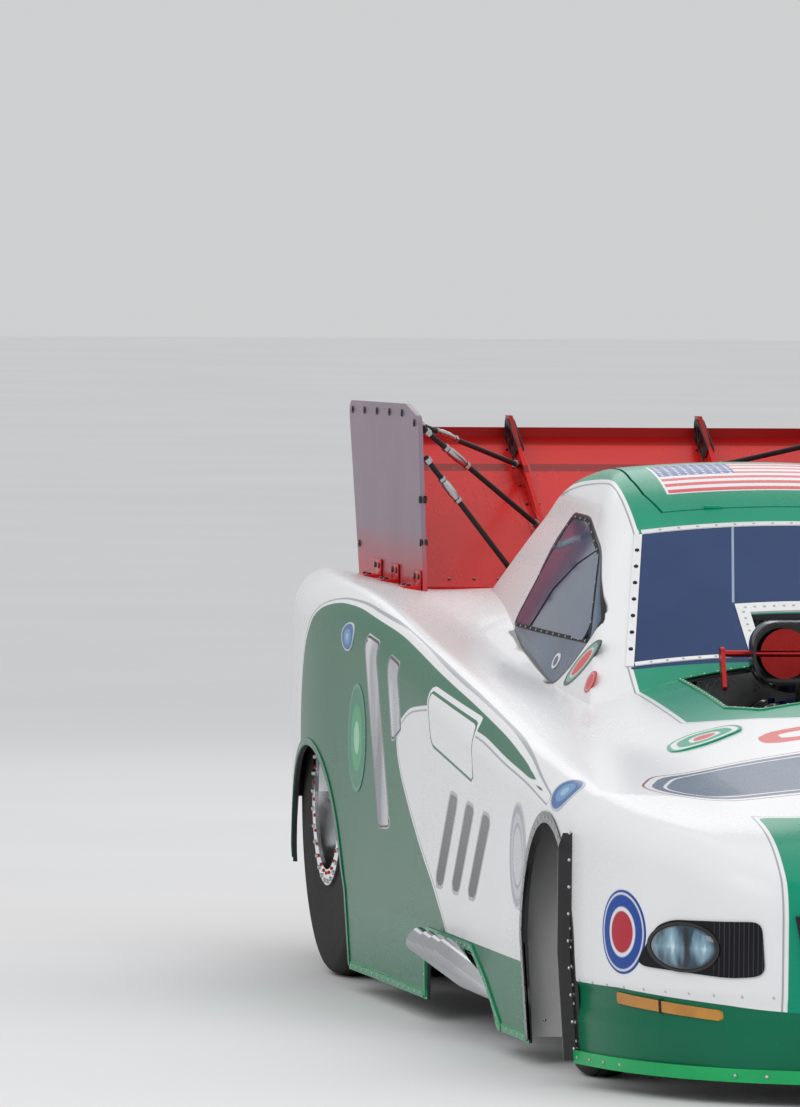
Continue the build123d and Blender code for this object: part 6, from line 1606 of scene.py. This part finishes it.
class DRAGCAR_OT_soft(bpy.types.Operator):
    """Makes the parachute packs with their straps, buckles and pins, and the seat's pads"""
    bl_idname = "dragcar.soft"
    bl_label = "Packs and pads"

    def execute(self, context):
        cloth, red = "pack_cloth", "red_webbing"
        half = (0.128, 0.142, 0.083)
        centres = [(s * 0.139, FRONT_Y + 4.095, 0.5045) for s in (1, -1)]
        packs = []
        for centre, side in zip(centres, ("left", "right")):
            pack = pillow("parachute_pack_" + side, centre, half, cloth, folds=0.0028,
                          seams=((1, 0.100), (2, 0.052)), floor=0.4197)
            packs.append(pack)
        seat(packs[0], "chassis", "fabric_pack", "parachute_packs")
        seat(packs[1], "chassis", "fabric_pack")
        points, faces = [], []
        for centre in centres:
            for x in (-0.062, 0.062):
                ring = band_round(centre, half, x, 0.012, 0.018)
                ring[..., 2] = np.maximum(ring[..., 2], 0.4192)
                faces += grid_faces(96, 4, True, True, len(points) * 384).tolist()
                points.append(ring.reshape(-1, 3))
        seat(new_piece("pack_straps", np.concatenate(points), faces, red), "chassis", "fabric_pack")
        flaps = blocks("pack_buckles", [((c[0] + x, c[1] + 0.1445, 0.515), (0.034, 0.010, 0.026))
                                        for c in centres for x in (-0.062, 0.062)], 0.004, "bright_steel")
        seat(flaps, "chassis", "alloy")
        pins = [bent([(c[0] - 0.045, c[1] + 0.146, 0.478), (c[0], c[1] + 0.158, 0.486),
                      (c[0] + 0.045, c[1] + 0.146, 0.478)], 10) for c in centres]
        seat(tubes("pack_pins", pins, 0.0028, "bright_steel", sides=8), "chassis", "alloy")
        pad = "seat_cloth"
        base = pillow("seat_base_pad", (0, FRONT_Y + 2.243, 0.4265), (0.143, 0.128, 0.0205), pad, edge=0.26,
                      folds=0.0007, seams=((0, -0.05), (0, 0.05)))
        tilt = np.arctan2(0.110, 0.486)
        turn = ((1, 0, 0), (0, np.cos(tilt), -np.sin(tilt)), (0, np.sin(tilt), np.cos(tilt)))
        back = pillow("seat_back_pad", (0, FRONT_Y + 2.4265, 0.665), (0.143, 0.0195, 0.205), pad, turn,
                      edge=0.26, folds=0.0007, seams=((0, -0.05), (0, 0.05)))
        for piece in (base, back):
            seat(piece, "chassis", "seat_fabric")
        return {"FINISHED"}


class DRAGCAR_OT_engine(bpy.types.Operator):
    """Makes the engine's bolts, breather caps, straps and injector lines"""
    bl_idname = "dragcar.engine"
    bl_label = "Engine fittings"

    def execute(self, context):
        steel, black, blue = "bright_steel", "satin_black", "blue_anodised"
        middle = FRONT_Y + 1.355
        normal, across = np.array((0.607, 0, 0.795)), np.array((0.795, 0, -0.607))
        origin = np.array((0.242, middle, 0.5155))
        spots = [origin + normal * 0.0703 + across * w + (0, t, 0) for w in (-0.045, 0.045)
                 for t in np.linspace(-0.225, 0.225, 7)]
        caps = [origin + normal * 0.0703 + (0, t, 0) for t in (-0.165, 0.165)]
        for name, places, size, high, finish, sides in (
            ("cover_bolts", spots, 0.0075, 0.006, steel, 6), ("breather_caps", caps, 0.024, 0.020, blue, 24)
        ):
            places = np.array(places)
            places = np.concatenate((places, places * (-1, 1, 1)))
            out = normal * np.where(places[:, :1] > 0, (1, 1, 1), (-1, 1, 1))
            seat(heads(name, places, out, size, high, finish, sides=sides, flat=0.8), "chassis", "alloy")
        a = np.linspace(0, 2 * pi, 18, endpoint=False)
        ring = np.stack((0.142 * np.sign(np.cos(a)) * np.abs(np.cos(a)) ** 0.6, 0 * a,
                         BLOWER_Z + 0.098 * np.sign(np.sin(a)) * np.abs(np.sin(a)) ** 0.6), 1)
        ends = np.concatenate((ring + (0, FRONT_Y + 1.0778, 0), ring + (0, FRONT_Y + 1.6322, 0)))
        out = np.concatenate((np.tile((0, -1.0, 0), (18, 1)), np.tile((0, 1.0, 0), (18, 1))))
        seat(heads("blower_bolts", ends, out, 0.0065, 0.005, steel, **HEXAGON), "chassis", "chrome")
        side = np.array([(s * 0.1155, FRONT_Y + t, z) for s in (1, -1) for z in (0.5275, 0.7475)
                         for t in np.linspace(1.13, 1.58, 9)])
        seat(heads("base_bolts", side, np.sign(side[:, :1]) * (1, 0, 0), 0.0055, 0.004, steel, **HEXAGON),
             "chassis", "chrome")
        straps, faces = [], []
        for place in (1.195, 1.355, 1.515):
            b = np.linspace(0, 2 * pi, 80, endpoint=False)
            for dy, r in ((-0.014, 0.1005), (-0.014, 0.1035), (0.014, 0.1035), (0.014, 0.1005)):
                x = r * np.cos(b) + 0.050 * np.clip(np.cos(b) * 6, -1, 1)
                straps.append(np.stack((x, np.full(80, FRONT_Y + place + dy), BLOWER_Z + r * np.sin(b)), 1))
        rows = np.array(straps).reshape(3, 4, 80, 3).transpose(0, 2, 1, 3)
        for k in range(3):
            faces += grid_faces(80, 4, True, True, k * 320).tolist()
        seat(new_piece("blower_straps", rows, faces, black), "chassis", "black_trim")
        lines, caps = [], []
        for s in (1, -1):
            for k in range(4):
                y = FRONT_Y + 1.150 + 0.136 * k
                lines.append(bent([(s * 0.124, y, 0.778), (s * 0.175, y, 0.780), (s * 0.185, y + 0.01, 0.700),
                                   (s * 0.176, y + 0.015, 0.600), (s * 0.150, y + 0.015, 0.545),
                                   (s * 0.108, y + 0.015, 0.508)], 10))
                caps.append([(s * 0.116, y, 0.778), (s * 0.132, y, 0.778)])
        seat(tubes("injector_lines", lines, 0.0042, steel, sides=10), "chassis", "chrome")
        seat(tubes("injector_unions", caps, 0.0085, blue, sides=6), "chassis", "alloy")
        flange = np.array([(s * 0.3095, FRONT_Y + 1.145 + 0.140 * k + d, 0.435 + e) for s in (1, -1)
                           for k in range(4) for d, e in ((-0.046, 0.0), (0.046, 0.0))])
        seat(heads("flange_bolts", flange, np.sign(flange[:, :1]) * (1, 0, 0), 0.007, 0.007, steel, **HEXAGON),
             "chassis", "chrome")
        return {"FINISHED"}


class DRAGCAR_OT_cabin(bpy.types.Operator):
    """Makes the white splash panels behind the front wheels, the tail's rivets and the hood opening's edge"""
    bl_idname = "dragcar.cabin"
    bl_label = "Panels and edges"

    def execute(self, context):
        r = context.scene.drag_sizes.rivet
        steel = "bright_steel"
        z = np.linspace(0.062, 0.640, 30)
        columns = []
        for share, back in ((0, 0.342), (1, 0.342), (1, 0.346), (0, 0.346)):
            outer = side_x(np.full(30, 0.344), z) - 0.008
            columns.append(np.stack((0.560 + share * (outer - 0.560), np.full(30, FRONT_Y + back), z), 1))
        points, faces = twice(np.stack(columns, 1), grid_faces(30, 4, False, True).tolist()
                              + [[3, 2, 1, 0], [116, 117, 118, 119]])
        seat(new_piece("splash_panels", points, faces, "white_enamel"), "body", "painted_body")
        spots = np.array([(x, FRONT_Y + 0.342, z) for x in (0.60, 0.70, 0.80, 0.90) for z in (0.10, 0.60)])
        spots = np.concatenate((spots, spots * (-1, 1, 1)))
        seat(heads("splash_rivets", spots, (0, -1, 0), r * 0.8, 0.0025, steel), "body", "alloy")
        side, top = np.linspace(0.31, 0.80, 8), np.linspace(0.05, 0.66, 8)
        tail = [(0.715, z) for z in side] + [(x, 0.862) for x in top]
        spots = [(s * x, FRONT_Y + BODY_END, z) for s in (1, -1) for x, z in tail]
        seat(heads("tail_rivets", spots, (0, 1, 0), r * 0.8, 0.0025, steel), "body", "alloy")
        edge = spread(((0.163, 1.440), (0.194, 1.391), (0.219, 1.373), (0.386, 1.373), (0.386, 0.820),
                       (0.324, 0.694), (0.0, 0.694)), 160)
        seat(strip("hood_edges", edge, 0.010, on_top, "lip_paint", 0.003), "body", "painted_body")
        seat(studs("hood_rivets", spread(edge, 40)[1:-1], on_top, r * 0.55, 0.002, steel, 0.003), "body",
             "alloy")
        return {"FINISHED"}


def lamp(name, place, aim, size, power):
    """A soft square light that shines from a place towards a point."""
    light = bpy.data.lights.new(name, "AREA")
    light.size, light.energy = size, power
    piece = bpy.data.objects.new(name, light)
    piece.location = place
    piece.rotation_euler = (Vector(aim) - Vector(place)).to_track_quat("-Z", "Y").to_euler()
    bpy.context.scene.collection.objects.link(piece)


class DRAGCAR_OT_studio(bpy.types.Operator):
    """Makes the pale floor, the even sky, soft lamps and the long-lens camera low in front of the car's
    right side"""
    bl_idname = "dragcar.studio"
    bl_label = "Studio"

    def execute(self, context):
        scene = context.scene
        floor = new_piece("floor", [(x, y, 0) for x, y in ((-60, -60), (60, -60), (60, 90), (-60, 90))],
                          [[0, 1, 2, 3]])
        floor.data.materials.append(self.floor_finish())
        world = bpy.data.worlds.new("studio")
        world.use_nodes = True
        tree = world.node_tree
        path = tree.nodes.new("ShaderNodeLightPath")
        seen = Wire(tree, path.outputs["Is Camera Ray"]).most(Wire(tree, path.outputs["Is Transmission Ray"]))
        seen = seen.most(Wire(tree, path.outputs["Is Glossy Ray"]))
        shade = blend_colours(tree, seen, (0.74, 0.745, 0.755), (0.62, 0.625, 0.63))
        tree.links.new(shade.socket, tree.nodes["Background"].inputs["Color"])
        scene.world = world
        lamp("key", (-7.5, -8.5, 7.5), (0, 0.2, 0.5), 5.0, 250)
        lamp("front", (3.0, -12.0, 5.0), (0, -1.5, 0.5), 6.0, 110)
        lamp("fill", (9.0, -2.0, 5.0), (0, 0.5, 0.5), 6.0, 60)
        lamp("top", (0.0, 1.0, 8.0), (0, 0.5, 0), 6.0, 90)
        lamp("back", (2.0, 10.0, 6.0), (0, 1.5, 0.8), 5.0, 80)
        scene.view_settings.view_transform = "Standard"
        scene.camera = self.camera(context)
        return {"FINISHED"}

    def floor_finish(self):
        m, tree, shader, mask = new_finish("studio_floor", 0.75, 0.0, 0.0, 0.06, 0.5)
        colour_by(tree, shader, blend_colours(tree, mask, (0.80, 0.80, 0.80), (0.77, 0.77, 0.775)))
        return m

    def camera(self, context):
        """The camera's axes come from its yaw, its fall and its roll; it aims along the picture's
        middle ray."""
        yaw, fall, roll = np.radians((11.29, 3.02, 0.56))
        ahead = np.array((np.sin(yaw) * np.cos(fall), np.cos(yaw) * np.cos(fall), -np.sin(fall)))
        right = np.array((np.cos(yaw), -np.sin(yaw), 0))
        up = np.cross(right, ahead)
        right, up = np.cos(roll) * right + np.sin(roll) * up, np.cos(roll) * up - np.sin(roll) * right
        lens = context.scene.drag_sizes.camera_lens
        pixels = lens / 36 * 1107
        aim = ahead + (400 - 700) / pixels * right - (553.5 - 750) / pixels * up
        aim /= np.linalg.norm(aim)
        right = right - (right @ aim) * aim
        right /= np.linalg.norm(right)
        up = np.cross(right, aim)
        data = bpy.data.cameras.new("camera")
        data.sensor_fit, data.sensor_width, data.lens = "AUTO", 36, lens
        data.clip_end = 200
        camera = bpy.data.objects.new("camera", data)
        turn = Matrix((right, up, -aim)).transposed().to_4x4()
        camera.matrix_world = Matrix.Translation((-5.870, FRONT_Y + 1.735 - 28.088, 2.161)) @ turn
        bpy.context.scene.collection.objects.link(camera)
        return camera


class DRAGCAR_PT_panel(bpy.types.Panel):
    bl_label = "Drag Racing Car"
    bl_idname = "DRAGCAR_PT_panel"
    bl_space_type = "VIEW_3D"
    bl_region_type = "UI"
    bl_category = "Drag Car"

    def draw(self, context):
        for group in (context.scene.drag_paint, context.scene.drag_sizes):
            for name in group.bl_rna.properties.keys():
                if name not in ("rna_type", "name"):
                    self.layout.prop(group, name)
        for step in STEPS:
            self.layout.operator(step.bl_idname)


STEPS = (
    DRAGCAR_OT_finishes, DRAGCAR_OT_body, DRAGCAR_OT_nose, DRAGCAR_OT_vinyl, DRAGCAR_OT_glazing,
    DRAGCAR_OT_spoiler, DRAGCAR_OT_tyres, DRAGCAR_OT_soft, DRAGCAR_OT_engine, DRAGCAR_OT_cabin,
    DRAGCAR_OT_studio,
)


def register():
    for part in (PaintColours, CarSizes, *STEPS, DRAGCAR_PT_panel):
        bpy.utils.register_class(part)
    bpy.types.Scene.drag_paint = PointerProperty(type=PaintColours)
    bpy.types.Scene.drag_sizes = PointerProperty(type=CarSizes)


def unregister():
    del bpy.types.Scene.drag_paint
    del bpy.types.Scene.drag_sizes
    for part in (DRAGCAR_PT_panel, *STEPS[::-1], CarSizes, PaintColours):
        bpy.utils.unregister_class(part)


def main():
    register()
    for step in STEPS:
        getattr(bpy.ops.dragcar, step.bl_idname.split(".")[1])()


if __name__ == "__main__":
    main()
